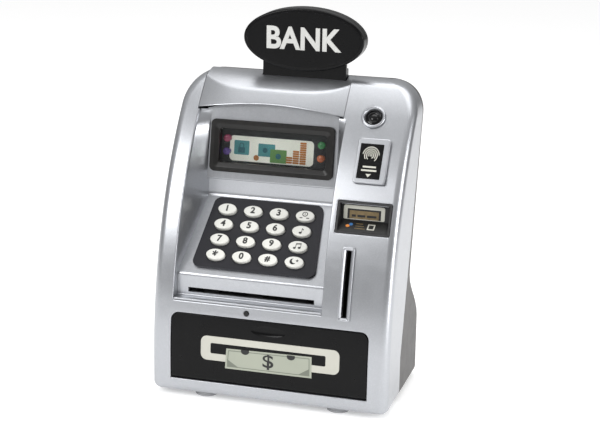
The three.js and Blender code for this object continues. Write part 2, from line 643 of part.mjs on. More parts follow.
function signFront() {
  const oval = new THREE.ExtrudeGeometry(ellipseShape(SIGN_A - 1.3, SIGN_B - 1.3), {
    depth: 5, bevelThickness: 1.3, bevelSize: 1.3, bevelSegments: 2, curveSegments: 12,
  });
  const face1 = toSolid(oval.rotateX(Math.PI / 2).translate(0, SIGN_FACE + 6.3, SIGN_Z));
  const trim = box(-60, 60, SIGN_FACE + 6.3, SIGN_FACE + 20, 150, 260);
  const neck = box(-27.5, 27.5, NECK_Y, NECK_Y + NECK_THICK, TOP - 12.6, SIGN_Z - 12);
  const flange = box(-31, 31, NECK_Y, NECK_Y + NECK_THICK, TOP - 12.6, TOP - 8.2);
  return joined(cut(face1, trim), cut(joined(neck, flange), box(-60, 60, SIGN_FACE + 6.3, 100, SIGN_Z - 18, 260)));
}

function signBack() {
  const oval = plainExtrude(ellipseShape(SIGN_A, SIGN_B), 5.6, 12);
  return cut(
    toSolid(oval.rotateX(Math.PI / 2).translate(0, SIGN_FACE + 6.6 + 5.6, SIGN_Z)),
    box(-29, 29, 60, NECK_Y + NECK_THICK + 0.4, 190, SIGN_Z - 17.7),
  );
}

// ---------------------------------------------------------------- money door and latch
const CATCH_X = BAY_X;
const PULL_X = 0;
const PULL_Z = 50;

function moneyDoor() {
  const heights = [HINGE_Z, 20, 28, 38, 47, DOOR_HIGH];
  const outline = [...heights.map((z) => [face(z) + 0.3, z]), ...heights.toReversed().map((z) => [face(z) + 2.9, z])];
  const panel = sideExtrude(outline, -DOOR_HALF, DOOR_HALF);
  const barrel = alongX(BARREL, HINGE_Y, HINGE_Z, -DOOR_HALF, DOOR_HALF, 20);
  const pinHole = alongX(1.25, HINGE_Y, HINGE_Z, -80, 80, 16);
  // A hollow catch box behind the panel; the latch tongue drops between its back wall and the panel.
  const catchBox = cut(
    box(CATCH_X - 6, CATCH_X + 6, 3.4, 10.6, 43.6, 52),
    box(CATCH_X - 4.4, CATCH_X + 4.4, face(50) + 2.9, 8.8, 45.2, 60),
  );
  // Finger pull: a shallow oval scoop near the top edge.
  const scoop = toSolid(
    new THREE.SphereGeometry(1, 20, 10).scale(13, 2.2, 4).translate(PULL_X, face(PULL_Z) - 0.4, PULL_Z),
  );
  const corners = [-1, 1].map((side) => {
    const edge = side * DOOR_HALF;
    const inner = edge - side * 5;
    const block = box(Math.min(edge, inner), Math.max(edge, inner), -2, 8, DOOR_HIGH - 5, DOOR_HIGH + 1);
    return cut(block, alongY(5, edge - side * 5, DOOR_HIGH - 5, -3, 9, 24));
  });
  return cut(joined(panel, barrel, catchBox), pinHole, scoop, ...corners);
}

const hingePin = () => alongX(1, HINGE_Y, HINGE_Z, -71, 71, 12);

function doorLatch() {
  // A sliding tongue: it drops behind the door panel, in front of the catch box's back wall.
  const tongue = box(CATCH_X - 3.6, CATCH_X + 3.6, 6.2, 8, 53.4, 62.4);
  const tail = box(CATCH_X - 3.6, CATCH_X + 3.6, 6.2, 10.4, 60, 62.4);
  return joined(tongue, tail);
}

const latchSolenoid = () =>
  joined(
    box(CATCH_X + 4.6, CATCH_X + 18, 6.5, 13.5, 56.4, 62.6),
    alongX(1.4, 10, 59.5, CATCH_X + 17, CATCH_X + 21, 12),
  );

// ---------------------------------------------------------------- note feed
const PINCH_Z = ROLLER_Z + ROLLER_R + PINCH_R + 0.4;
const MOTOR_Y = ROLLER_Y + (GEAR_MODULE * (GEAR_TEETH + PINION_TEETH)) / 2;
const BRACKET_X0 = -59.6;
const BRACKET_X1 = 28.6;
const GEAR_X = -56.6;

// Straight-flanked gear: the teeth are thinner than half the pitch, for backlash.
function gear(teeth, y, z, x0, x1, phase) {
  const pitch = (GEAR_MODULE * teeth) / 2;
  const step = (2 * Math.PI) / teeth;
  const points = Array.from({ length: teeth }, (_, i) => {
    const a = phase + i * step;
    return [[-0.27, -1.15], [-0.13, 0.85], [0.13, 0.85], [0.27, -1.15]].map(([turn, out]) => {
      const r = pitch + out * GEAR_MODULE;
      return [y + r * Math.cos(a + turn * step), z + r * Math.sin(a + turn * step)];
    });
  }).flat();
  return sideExtrude(points, x0, x1);
}

function feedRoller() {
  const tyres = [-44, -14.5, 15].map((x) => alongX(ROLLER_R, ROLLER_Y, ROLLER_Z, x - 5, x + 5, 16));
  return joined(
    alongX(1.4, ROLLER_Y, ROLLER_Z, BRACKET_X0 - 0.6, BRACKET_X1 + 2.2, 12),
    gear(GEAR_TEETH, ROLLER_Y, ROLLER_Z, GEAR_X, GEAR_X + 3, 0),
    ...tyres,
  );
}

function pinchRoller() {
  const tyres = [-44, -14.5, 15].map((x) => alongX(PINCH_R, ROLLER_Y, PINCH_Z, x - 4, x + 4, 16));
  return joined(alongX(1.2, ROLLER_Y, PINCH_Z, BRACKET_X0 - 0.6, BRACKET_X1 + 2.2, 12), ...tyres);
}

const motorPinion = () =>
  joined(
    gear(PINION_TEETH, MOTOR_Y, ROLLER_Z, GEAR_X, GEAR_X + 3, Math.PI + Math.PI / PINION_TEETH),
    alongX(1, MOTOR_Y, ROLLER_Z, BRACKET_X0 - 0.4, GEAR_X + 4.6, 10),
  );

function feedMotor() {
  const can = alongX(6.5, MOTOR_Y, ROLLER_Z, GEAR_X + 5, GEAR_X + 29, 20);
  const collar = alongX(3, MOTOR_Y, ROLLER_Z, GEAR_X + 28, GEAR_X + 31, 16);
  return joined(can, collar);
}

// ---------------------------------------------------------------- rear fittings
function batteryCover() {
  const lid = sideExtrude(coverOutline(0, 1.8), -COVER_HALF, COVER_HALF);
  const ear = cut(
    box(30.4, EAR_X + 4.4, DEPTH - 3.4, DEPTH, EAR_Z - 6, EAR_Z + 6),
    alongY(1.5, EAR_X, EAR_Z, 90, 110, 12),
    alongY(3, EAR_X, EAR_Z, DEPTH - 1.9, 110, 16),
  );
  return joined(lid, ear);
}

const coverScrew = () =>
  joined(
    alongY(2.6, EAR_X, EAR_Z, DEPTH - 1.6, DEPTH - 0.2, 16),
    alongY(1.2, EAR_X, EAR_Z, DEPTH - 9.5, DEPTH - 1.2, 10),
  );

const battery = (k) => {
  const z = WELL_LOW + 7.6 + k * 14.9;
  const y = WELL_FRONT + 7.5;
  const flip = k % 2 ? -1 : 1;
  return joined(alongX(7.1, y, z, -24.6, 24.6, 20), alongX(2.7, y, z, ...(flip > 0 ? [24, 26] : [-26, -24]), 12));
};

const speaker = () => {
  const y = rear(SPEAKER_Z) - WALL - 8;
  return joined(
    alongY(16, SPEAKER_X, SPEAKER_Z, y - 2, y + 1.4, 28),
    alongY(9, SPEAKER_X, SPEAKER_Z, y - 8, y - 1, 20),
  );
};

const powerSwitch = () => {
  const y = rear(SWITCH_Z);
  return joined(
    box(SWITCH_X - 4.2, SWITCH_X - 1, y - 4, y - 0.4, SWITCH_Z - 1.7, SWITCH_Z + 1.7),
    box(SWITCH_X - 8.2, SWITCH_X + 3, y - 4.6, y - 3, SWITCH_Z - 3.4, SWITCH_Z + 3.4),
  );
};

const caseScrew = (side) =>
  joined(
    alongY(2.9, side * postX, postZ, 47, 49, 14),
    alongY(1.1, side * postX, postZ, 26, 48, 10),
  );

const foot = (x, y) =>
  toSolid(new THREE.CylinderGeometry(6.6, 7.5, 3, 20).rotateX(-Math.PI / 2).translate(x, y, 1.5));

// ---------------------------------------------------------------- assembly
place("front_shell", frontShell(), SILVER);
place("back_shell", rearShell(), GREY_SHELL);
place("bay_fascia", fascia(), SILVER);
place("display_hood", hood(), SILVER);
place("sign_front", signFront(), BLACK);
place("sign_back", signBack(), BLACK);
place("display_bezel", displayBezel(), BLACK);
place("display_window", displayWindow(), CLEAR);
place("display_card", displayCard(), CARD);
LAMPS.forEach((item) => place(item.name, lamp(item), CLEAR));
place("keypad_plate", keypadPlate(), BLACK);
keyCentres().forEach((key) => place(key.name, keyCap(key), KEY_PLASTIC));
place("key_mat", keyMat(), RUBBER);
place("circuit_board", circuitBoard(), BOARD);
place("camera_ring", lensRing(), SILVER);
place("camera_lens", lens(), BLACK);
place("touch_tile", touchTile(), SILVER);
place("card_reader", cardReader(), BLACK);
place("coin_slot_frame", coinFrame(), SILVER);
place("coin_chute", coinChute(), NYLON);
place("money_door", moneyDoor(), BLACK);
place("door_hinge_pin", hingePin(), STEEL);
place("door_latch", doorLatch(), NYLON);
place("latch_solenoid", latchSolenoid(), STEEL);
place("status_lamp", alongY(1.6, BAY_X, LAMP_Z, face(LAMP_Z) - 0.6, 5.7, 16), RUBBER);
place("feed_roller", feedRoller(), RUBBER);
place("pinch_roller", pinchRoller(), RUBBER);
place("motor_pinion", motorPinion(), NYLON);
place("feed_motor", feedMotor(), STEEL);
place("speaker", speaker(), RUBBER);
place("battery_cover", batteryCover(), GREY_SHELL);
place("cover_screw", coverScrew(), STEEL);
[0, 1, 2].forEach((k) => place(`battery_${k + 1}`, battery(k), STEEL));
place("power_switch", powerSwitch(), BLACK);
place("case_screw_left", caseScrew(-1), STEEL);
place("case_screw_right", caseScrew(1), STEEL);
place("foot_front_left", foot(-43.5, 12), FOOT_RUBBER);
place("foot_front_right", foot(43.5, 12), FOOT_RUBBER);
place("foot_rear_left", foot(-43.5, 83), FOOT_RUBBER);
place("foot_rear_right", foot(43.5, 83), FOOT_RUBBER);

const part = new THREE.Group();
part.add(model);
export default part;
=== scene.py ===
import math

import bmesh
import bpy
from mathutils import Matrix, Vector


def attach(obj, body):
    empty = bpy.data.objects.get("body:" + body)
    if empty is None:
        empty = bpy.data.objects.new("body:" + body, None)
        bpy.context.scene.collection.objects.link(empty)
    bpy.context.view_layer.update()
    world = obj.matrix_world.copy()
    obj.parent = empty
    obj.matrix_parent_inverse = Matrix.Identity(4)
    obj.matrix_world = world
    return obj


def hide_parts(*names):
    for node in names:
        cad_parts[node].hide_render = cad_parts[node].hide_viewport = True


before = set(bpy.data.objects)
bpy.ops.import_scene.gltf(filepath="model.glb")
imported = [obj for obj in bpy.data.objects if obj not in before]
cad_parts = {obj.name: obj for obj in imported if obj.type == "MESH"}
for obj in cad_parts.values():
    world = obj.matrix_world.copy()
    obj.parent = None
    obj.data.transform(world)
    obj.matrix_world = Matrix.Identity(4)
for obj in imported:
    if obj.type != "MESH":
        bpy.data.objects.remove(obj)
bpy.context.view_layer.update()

print("frame loaded:", len(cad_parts), "nodes")

# Toy cash machine savings bank. Sizes are millimetres and depths are counted from the front face,
# like the moulds; place() turns them into the frame's metres.

# Housing profiles
housing = {
    "width": 154, "depth": 94.6, "top": 198.3, "floor": 3.3, "wall": 2.5, "gap": 0.3,
    "faceRadius": 243, "faceStart": 25, "topCorner": 20, "footRound": 4.5, "faceRound": 6,
    "partingFoot": 34.6, "partingSlope": 0.283, "partingBend": 30,
    "bayLeft": -63.3, "bayRight": 33.4, "bayFloor": 63.5, "bayTop": 176,
    "keysX": -14.5, "hoodLeft": -64.2, "hoodRight": 32,
}
width, depth, top, floorZ, wall, gap = (housing[k] for k in ("width", "depth", "top", "floor", "wall", "gap"))


def place(x, y, z):
    return Vector((x, y - depth / 2, z)) / 1000


def face(z):  # depth of the curved front at a height
    rise = max(z - housing["faceStart"], 0)
    return housing["faceRadius"] - math.sqrt(housing["faceRadius"] ** 2 - rise**2)


def lean(z):
    return math.asin(max(z - housing["faceStart"], 0) / housing["faceRadius"])


def parting(z):
    return housing["partingFoot"] + housing["partingSlope"] * max(z - housing["partingBend"], 0)


def smoothStep(a, b, z):
    t = min(max((z - a) / (b - a), 0), 1)
    return t * t * (3 - 2 * t)


def cornerLoss(z, edge, r):  # what a quarter circle of radius r takes off near an edge
    return r - math.sqrt(max(r * r - (z - edge + r) ** 2, 0)) if z > edge - r else 0


def footLoss(z):
    return cornerLoss(2 * floorZ - z, floorZ, housing["footRound"])


def halfWidth(z):
    return width / 2 - cornerLoss(z, top, housing["topCorner"])


def rear(z):
    back = depth - 23.9 * smoothStep(41, 80, z) + 0.245 * max(z - 80, 0)
    return min(depth, back) - cornerLoss(z, top, 16)


def rearRound(z):
    return 14 + 4 * smoothStep(45, 80, z)


# The note-slot wall, the keypad slope at 45 degrees and the leaning display panel above it.
bay = {
    "noteWall": 10.8, "noteZ": 68.7, "slopeFoot": 78.8, "slopeRun": 59,
    "panelDepth": 49.5, "panelLean": 0.16, "panelFoot": 131.5, "panelTop": 173.5,
    "draft": {-1: 0.157, 1: 0.11}, "thick": 2.0, "round": 1.4,
}


# Three working surfaces: x across, a distance up the surface, and a lift out of it.
def onFace(x, z, lift):
    return (x, face(z) - lift * math.cos(lean(z)), z + lift * math.sin(lean(z)))


def onSlope(x, along, lift):
    k = math.sqrt(0.5)
    return (x, bay["noteWall"] + (along - lift) * k, bay["slopeFoot"] + (along + lift) * k)


panelTilt = math.pi / 2 - math.atan(bay["panelLean"])


def onPanel(x, along, lift):
    c, s = math.cos(panelTilt), math.sin(panelTilt)
    return (x, bay["panelDepth"] + along * c - lift * s, bay["panelFoot"] + along * s + lift * c)


def tiltedAt(zMiddle):  # a flat plane that touches the front face at one height
    c, s = math.sin(lean(zMiddle)), math.cos(lean(zMiddle))
    return lambda x, up, lift: (x, face(zMiddle) + up * c - lift * s, zMiddle + up * s + lift * c)


# Mesh tools
def cleanMesh(bm, weld=1e-7):
    bmesh.ops.remove_doubles(bm, verts=bm.verts, dist=weld)
    bmesh.ops.recalc_face_normals(bm, faces=bm.faces)


def newObject(name, bm):
    mesh = bpy.data.meshes.new(name)
    bm.to_mesh(mesh)
    bm.free()
    piece = bpy.data.objects.new(name, mesh)
    bpy.context.scene.collection.objects.link(piece)
    return piece


def bakeModifiers(piece):
    graph = bpy.context.evaluated_depsgraph_get()
    mesh = bpy.data.meshes.new_from_object(piece.evaluated_get(graph))
    piece.modifiers.clear()
    old, piece.data = piece.data, mesh
    bpy.data.meshes.remove(old)
    return piece


# Quads through loops of equal length; ring joins the last loop to the first, else both ends are capped.
def skin(name, loops, ring=False):
    bm = bmesh.new()
    rows = [[bm.verts.new(place(*p)) for p in loop] for loop in loops]
    count = len(rows[0])
    for k in range(len(rows) if ring else len(rows) - 1):
        a, b = rows[k], rows[(k + 1) % len(rows)]
        for i in range(count):
            j = (i + 1) % count
            bm.faces.new((a[i], a[j], b[j], b[i]))
    if not ring:
        bm.faces.new(list(reversed(rows[0])))
        bm.faces.new(rows[-1])
    cleanMesh(bm)
    return newObject(name, bm)


def block(name, x0, x1, y0, y1, z0, z1, edge=0.0):
    piece = skin(name, [[(x0, y0, z), (x1, y0, z), (x1, y1, z), (x0, y1, z)] for z in (z0, z1)])
    if edge:
        softenEdges(piece, edge)
    return piece


def softenEdges(piece, size, segments=3, angle=35):
    bevel = piece.modifiers.new("edges", "BEVEL")
    bevel.width, bevel.segments, bevel.limit_method = size / 1000, segments, "ANGLE"
    bevel.angle_limit = math.radians(angle)
    return bakeModifiers(piece)


def circle(r, count=48, squash=1.0):
    angles = [2 * math.pi * i / count for i in range(count)]
    return [(r * math.cos(t), r * squash * math.sin(t)) for t in angles]


def quarterTurn(steps, first=0):  # angles up to a right angle
    return [math.pi / 2 * i / steps for i in range(first, steps + 1)]


# A plate on one of the working surfaces, between two or more lifts.
def slab(name, frameAt, loop, lifts, du=0, dv=0):
    return skin(name, [[frameAt(du + u, dv + v, h) for u, v in loop] for h in lifts])


# A cylinder along x, y or z from a to b.
def rod(name, axis, r, u, v, a, b, count=32):
    spots = {"x": lambda p, t: (t, u + p[0], v + p[1]), "y": lambda p, t: (u + p[0], t, v + p[1]),
             "z": lambda p, t: (u + p[0], v + p[1], t)}
    return skin(name, [[spots[axis](p, t) for p in circle(r, count)] for t in (a, b)])


def roundedBox(halfW, halfH, upperR, topIn=0.0, steps=6, lowerR=None):
    loop = []
    corners = ((halfW - topIn, halfH), (-halfW + topIn, halfH), (-halfW, -halfH), (halfW, -halfH))
    for start, (cx, cy) in enumerate(corners):
        sx, sy = (1 if cx > 0 else -1), (1 if cy > 0 else -1)
        r = lowerR if cy < 0 and lowerR is not None else upperR
        for i in range(steps + 1):
            t = math.pi / 2 * (start + i / steps)
            loop.append((cx - sx * r + r * math.cos(t), cy - sy * r + r * math.sin(t)))
    return loop


# A line with its corners rounded; radii holds one number per point.
def roundLine(points, radii, steps=4):
    made = []
    for i, p in enumerate(points):
        r = radii[i]
        if not r or i in (0, len(points) - 1):
            made.append(tuple(p))
            continue
        before, after = Vector(points[i - 1]) - Vector(p), Vector(points[i + 1]) - Vector(p)
        a = Vector(p) + before.normalized() * min(r, before.length * 0.48)
        b = Vector(p) + after.normalized() * min(r, after.length * 0.48)
        for k in range(steps + 1):
            t = k / steps
            made.append(tuple(a * (1 - t) ** 2 + Vector(p) * (2 * t * (1 - t)) + b * t * t))
    return made


# A (depth, height) outline from x0 to x1.
def sideways(name, outline, x0, x1):
    return skin(name, [[(x, y, z) for y, z in outline] for x in (x0, x1)])


def combine(piece, others, operation="DIFFERENCE"):
    for other in others:
        step = piece.modifiers.new("combine", "BOOLEAN")
        step.operation, step.solver, step.object = operation, "MANIFOLD", other
        bakeModifiers(piece)
        bpy.data.objects.remove(other)
    return piece


def fuse(piece, *others):
    return combine(piece, others, "UNION")


def carve(piece, *others):
    return combine(piece, others)


# Cuts an opening in the curved front, with a rounded edge. outline(grow) gives an (x, z) loop.
def faceCutter(name, outline, rounding, deep):
    stages = [(rounding * (1 - math.cos(t)), rounding * (1 - math.sin(t))) for t in quarterTurn(4)]
    loops = [[(x, face(z) + d, z) for x, z in outline(g)] for d, g in stages]
    ends = [[(x, y, z) for x, z in outline(g)] for y, g in ((-20, rounding), (deep, 0.0))]
    return skin(name, [ends[0], *loops, ends[1]])


# Outline of a rounded opening, with extra points up its sides so that it follows the curved face.
def boxOutline(x0, x1, z0, z1, r, rows=0, lowerR=None):
    def outline(grow):
        cx, cz = (x0 + x1) / 2, (z0 + z1) / 2
        lower = None if lowerR is None else lowerR + grow
        loop = roundedBox((x1 - x0) / 2 + grow, (z1 - z0) / 2 + grow, r + grow, lowerR=lower)
        made = []
        for i, p in enumerate(loop):
            q = loop[(i + 1) % len(loop)]
            made.append(p)
            if abs(q[1] - p[1]) > 8:
                made += [(p[0], p[1] + (q[1] - p[1]) * k / rows) for k in range(1, rows)]
        return [(cx + u, cz + v) for u, v in made]
    return outline


# Turns (radius, lift) pairs round a point; frameAt(u, v, lift) gives the place.
def turned(name, profile, frameAt, count=48, squash=1.0, ring=False):
    loops = [[frameAt(u, v, h) for u, v in circle(max(r, 1e-3), count, squash)] for r, h in profile]
    return skin(name, loops, ring)


# Finish, body and stand-in notes of a piece.
def done(piece, body, material, nodes=(), angle=35, weighted=True):
    piece.data.materials.clear()
    piece.data.materials.append(material)
    piece.data.shade_smooth()
    piece.data.set_sharp_from_angle(angle=math.radians(angle))
    if weighted:
        piece.modifiers.new("normals", "WEIGHTED_NORMAL").keep_sharp = True
    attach(piece, body)
    if nodes:
        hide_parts(*nodes)
    return piece


# Flat shapes: prints, letters and plates with holes
# Fills (u, v) loops, holes included, and returns the mesh.
def flatShape(loops, extrude=0.0, bevel=0.0):
    curve = bpy.data.curves.new("outline", "CURVE")
    curve.dimensions, curve.fill_mode = "2D", "BOTH"
    curve.extrude, curve.bevel_depth, curve.bevel_resolution, curve.offset = extrude, bevel, 2, -bevel
    for loop in loops:
        spline = curve.splines.new("POLY")
        spline.points.add(len(loop) - 1)
        spline.use_cyclic_u = True
        for point, (u, v) in zip(spline.points, loop):
            point.co = (u, v, 0, 1)
    return flatMesh(curve)


def flatMesh(curve):
    holder = bpy.data.objects.new("outline", curve)
    bpy.context.scene.collection.objects.link(holder)
    graph = bpy.context.evaluated_depsgraph_get()
    mesh = bpy.data.meshes.new_from_object(holder.evaluated_get(graph))
    bpy.data.objects.remove(holder)
    bpy.data.curves.remove(curve)
    return mesh


def lettering(text, size, weight=0.0):
    curve = bpy.data.curves.new("letters", "FONT")
    curve.body, curve.size, curve.offset = text, size, weight
    curve.align_x, curve.align_y = "CENTER", "CENTER"
    curve.resolution_u = 6
    return flatMesh(curve)


# Lays a flat mesh on a surface as a thin film; lift is a number or follows the surface, and rows are the
# heights where the film is cut so that it can bend.
def printed(name, mesh, frameAt, u0, v0, lift, material, body, thick=0.05, rows=(), stretch=(1, 1)):
    bm = bmesh.new()
    bm.from_mesh(mesh)
    bpy.data.meshes.remove(mesh)
    bmesh.ops.remove_doubles(bm, verts=bm.verts, dist=1e-4)
    if stretch != (1, 1):
        bmesh.ops.scale(bm, verts=bm.verts, vec=(stretch[0], stretch[1], 1))
    bmesh.ops.translate(bm, verts=bm.verts, vec=(u0, v0, 0))
    for row in rows:
        geometry = bm.verts[:] + bm.edges[:] + bm.faces[:]
        bmesh.ops.bisect_plane(bm, geom=geometry, plane_co=(0, row, 0), plane_no=(0, 1, 0))
    surface = (lambda u, v: lift) if not callable(lift) else lift
    made = bmesh.ops.extrude_face_region(bm, geom=bm.faces[:])
    upper = {g for g in made["geom"] if isinstance(g, bmesh.types.BMVert)}
    for v in bm.verts:
        v.co = place(*frameAt(v.co.x, v.co.y, surface(v.co.x, v.co.y) + (thick if v in upper else 0)))
    cleanMesh(bm, 1e-8)
    piece = newObject(name, bm)
    return done(piece, body, material, weighted=False)


def inked(name, loops, frameAt, lift, ink, body, thick=0.05, rows=()):
    return printed(name, flatShape(loops), frameAt, 0, 0, lift, paint[ink], body, thick, rows)


print("tools ready")


# Node groups shared by the finishes
def nodeGroup(name, inputs, outputs):
    tree = bpy.data.node_groups.new(name, "ShaderNodeTree")
    for label, kind, value in inputs:
        socket = tree.interface.new_socket(label, in_out="INPUT", socket_type=kind)
        socket.default_value = value
    for label, kind in outputs:
        tree.interface.new_socket(label, in_out="OUTPUT", socket_type=kind)
    return tree, tree.nodes.new("NodeGroupInput"), tree.nodes.new("NodeGroupOutput")


def wire(tree, source, target):
    tree.links.new(source, target)


def mathNode(tree, operation, a, b):
    node = tree.nodes.new("ShaderNodeMath")
    node.operation = operation
    for slot, value in zip(node.inputs, (a, b)):
        if isinstance(value, (int, float)):
            slot.default_value = value
        else:
            wire(tree, value, slot)
    return node.outputs[0]


def noiseNode(tree, coordinates, scale, detail=3.0, rough=0.55):
    node = tree.nodes.new("ShaderNodeTexNoise")
    wire(tree, coordinates, node.inputs["Vector"])
    if isinstance(scale, (int, float)):
        node.inputs["Scale"].default_value = scale
    else:
        wire(tree, scale, node.inputs["Scale"])
    node.inputs["Detail"].default_value = detail
    node.inputs["Roughness"].default_value = rough
    return node.outputs[0]


def rangeNode(tree, value, a, b, low, high):
    node = tree.nodes.new("ShaderNodeMapRange")
    wire(tree, value, node.inputs["Value"])
    for label, number in zip(("From Min", "From Max", "To Min", "To Max"), (a, b, low, high)):
        if isinstance(number, (int, float)):
            node.inputs[label].default_value = number
        else:
            wire(tree, number, node.inputs[label])
    return node.outputs[0]


# Fine moulded skin and broad patches, as left by the tool and by handling.
def buildMouldGroup():
    tree, given, out = nodeGroup(
        "mouldedSkin",
        [("Grain Scale", "NodeSocketFloat", 2600.0), ("Patch Scale", "NodeSocketFloat", 28.0)],
        [("Height", "NodeSocketFloat"), ("Patches", "NodeSocketFloat"), ("Smudges", "NodeSocketFloat")],
    )
    spot = tree.nodes.new("ShaderNodeTexCoord").outputs["Object"]
    fine = noiseNode(tree, spot, given.outputs["Grain Scale"], 2.0)
    broad = noiseNode(tree, spot, given.outputs["Patch Scale"], 4.0)
    smear = noiseNode(tree, spot, mathNode(tree, "MULTIPLY", given.outputs["Patch Scale"], 3.7), 5.0, 0.65)
    wire(tree, fine, out.inputs["Height"])
    wire(tree, rangeNode(tree, broad, 0.32, 0.68, 0.0, 1.0), out.inputs["Patches"])
    wire(tree, rangeNode(tree, smear, 0.42, 0.72, 0.0, 1.0), out.inputs["Smudges"])
    return tree


# A mask of sharp edges, broken up by noise, where edges are lightened as wear and as a painted highlight.
def buildWearAndHighlightGroup():
    tree, given, out = nodeGroup(
        "edgeWearAndHighlight", [("Break Up", "NodeSocketFloat", 420.0), ("Reach", "NodeSocketFloat", 0.56)],
        [("Mask", "NodeSocketFloat")],
    )
    spot = tree.nodes.new("ShaderNodeTexCoord").outputs["Object"]
    sharp = tree.nodes.new("ShaderNodeNewGeometry").outputs["Pointiness"]
    edge = rangeNode(tree, sharp, 0.51, given.outputs["Reach"], 0.0, 1.0)
    broken = rangeNode(tree, noiseNode(tree, spot, given.outputs["Break Up"], 4.0), 0.4, 0.62, 0.0, 1.0)
    wire(tree, mathNode(tree, "MULTIPLY", edge, broken), out.inputs["Mask"])
    return tree


# Tiny bright flakes of metallic paint.
def buildFlakeGroup():
    tree, given, out = nodeGroup(
        "paintFlakes", [("Flake Scale", "NodeSocketFloat", 3400.0)],
        [("Sparkle", "NodeSocketFloat"), ("Height", "NodeSocketFloat")],
    )
    spot = tree.nodes.new("ShaderNodeTexCoord").outputs["Object"]
    cells = tree.nodes.new("ShaderNodeTexVoronoi")
    wire(tree, spot, cells.inputs["Vector"])
    wire(tree, given.outputs["Flake Scale"], cells.inputs["Scale"])
    tone = tree.nodes.new("ShaderNodeSeparateColor")
    wire(tree, cells.outputs["Color"], tone.inputs[0])
    wire(tree, tone.outputs[0], out.inputs["Sparkle"])
    wire(tree, cells.outputs["Distance"], out.inputs["Height"])
    return tree


mouldedSkin, edgeWearAndHighlight, paintFlakes = buildMouldGroup(), buildWearAndHighlightGroup(), buildFlakeGroup()


def placed(tree, group, **values):
    node = tree.nodes.new("ShaderNodeGroup")
    node.node_tree = group
    for label, value in values.items():
        node.inputs[label.replace("_", " ")].default_value = value
    return node


def mixNode(tree, factor, a, b):
    node = tree.nodes.new("ShaderNodeMix")
    node.data_type = "RGBA"
    if isinstance(factor, (int, float)):
        node.inputs["Factor"].default_value = factor
    else:
        wire(tree, factor, node.inputs["Factor"])
    for slot, value in ((node.inputs[6], a), (node.inputs[7], b)):
        if isinstance(value, (tuple, list)):
            slot.default_value = (*value, 1.0)
        else:
            wire(tree, value, slot)
    return node.outputs[2]


# sRGB hex to the linear colour the shader takes.
def tint(code):
    parts = [int(code[i:i + 2], 16) / 255 for i in (0, 2, 4)]
    return tuple(c / 12.92 if c <= 0.04045 else ((c + 0.055) / 1.055) ** 2.4 for c in parts)


# A moulded or painted finish from one dictionary.
def finish(name, look):
    material = bpy.data.materials.new(name)
    material.use_nodes = True
    tree = material.node_tree
    shader = tree.nodes["Principled BSDF"]
    base, wornAndLitEdge = tint(look["colour"]), tint(look.get("wornAndLitEdge", look["colour"]))
    shade = tuple(c * look.get("shade", 0.88) for c in base)
    grain, patch = look.get("grain", 2600.0), look.get("patch", 28.0)
    skinNode = placed(tree, mouldedSkin, Grain_Scale=grain, Patch_Scale=patch)
    colour = mixNode(tree, skinNode.outputs["Patches"], base, shade)
    height = skinNode.outputs["Height"]
    if look.get("flakes"):
        flake = placed(tree, paintFlakes, Flake_Scale=look["flakes"])
        bright = tuple(min(c * 1.18, 1.0) for c in base)
        sparkle = flake.outputs["Sparkle"]
        colour = mixNode(tree, rangeNode(tree, sparkle, 0.6, 1.0, 0.0, 0.7), colour, bright)
        height = mathNode(tree, "ADD", height, mathNode(tree, "MULTIPLY", sparkle, 0.35))
    # Edges lightened towards the paler edge colour: partly wear, partly a painted edge highlight.
    if look.get("wearAndHighlight"):
        wearAndHighlight = placed(tree, edgeWearAndHighlight, Reach=look.get("reach", 0.57))
        colour = mixNode(tree, mathNode(tree, "MULTIPLY", wearAndHighlight.outputs["Mask"], look["wearAndHighlight"]), colour, wornAndLitEdge)
    wire(tree, colour, shader.inputs["Base Color"])
    low, high = look["rough"]
    rough = rangeNode(tree, skinNode.outputs["Smudges"], 0.0, 1.0, low, high)
    wire(tree, rough, shader.inputs["Roughness"])
    bump = tree.nodes.new("ShaderNodeBump")
    bump.inputs["Strength"].default_value = look.get("bump", 0.12)
    bump.inputs["Distance"].default_value = look.get("relief", 0.00004)
    wire(tree, height, bump.inputs["Height"])
    wire(tree, bump.outputs["Normal"], shader.inputs["Normal"])
    shader.inputs["Metallic"].default_value = look.get("metal", 0.0)
    shader.inputs["Coat Weight"].default_value = look.get("coat", 0.0)
    shader.inputs["Coat Roughness"].default_value = look.get("coatRough", 0.1)
    shader.inputs["Specular IOR Level"].default_value = look.get("specular", 0.5)
    # Emission: lamp light on the LED domes; on the display card it is painted light.
    if look.get("glow"):
        shader.inputs["Emission Color"].default_value = (*base, 1.0)
        shader.inputs["Emission Strength"].default_value = look["glow"]
    if look.get("clear"):
        shader.inputs["Transmission Weight"].default_value = look["clear"]
        shader.inputs["IOR"].default_value = 1.46
    return material
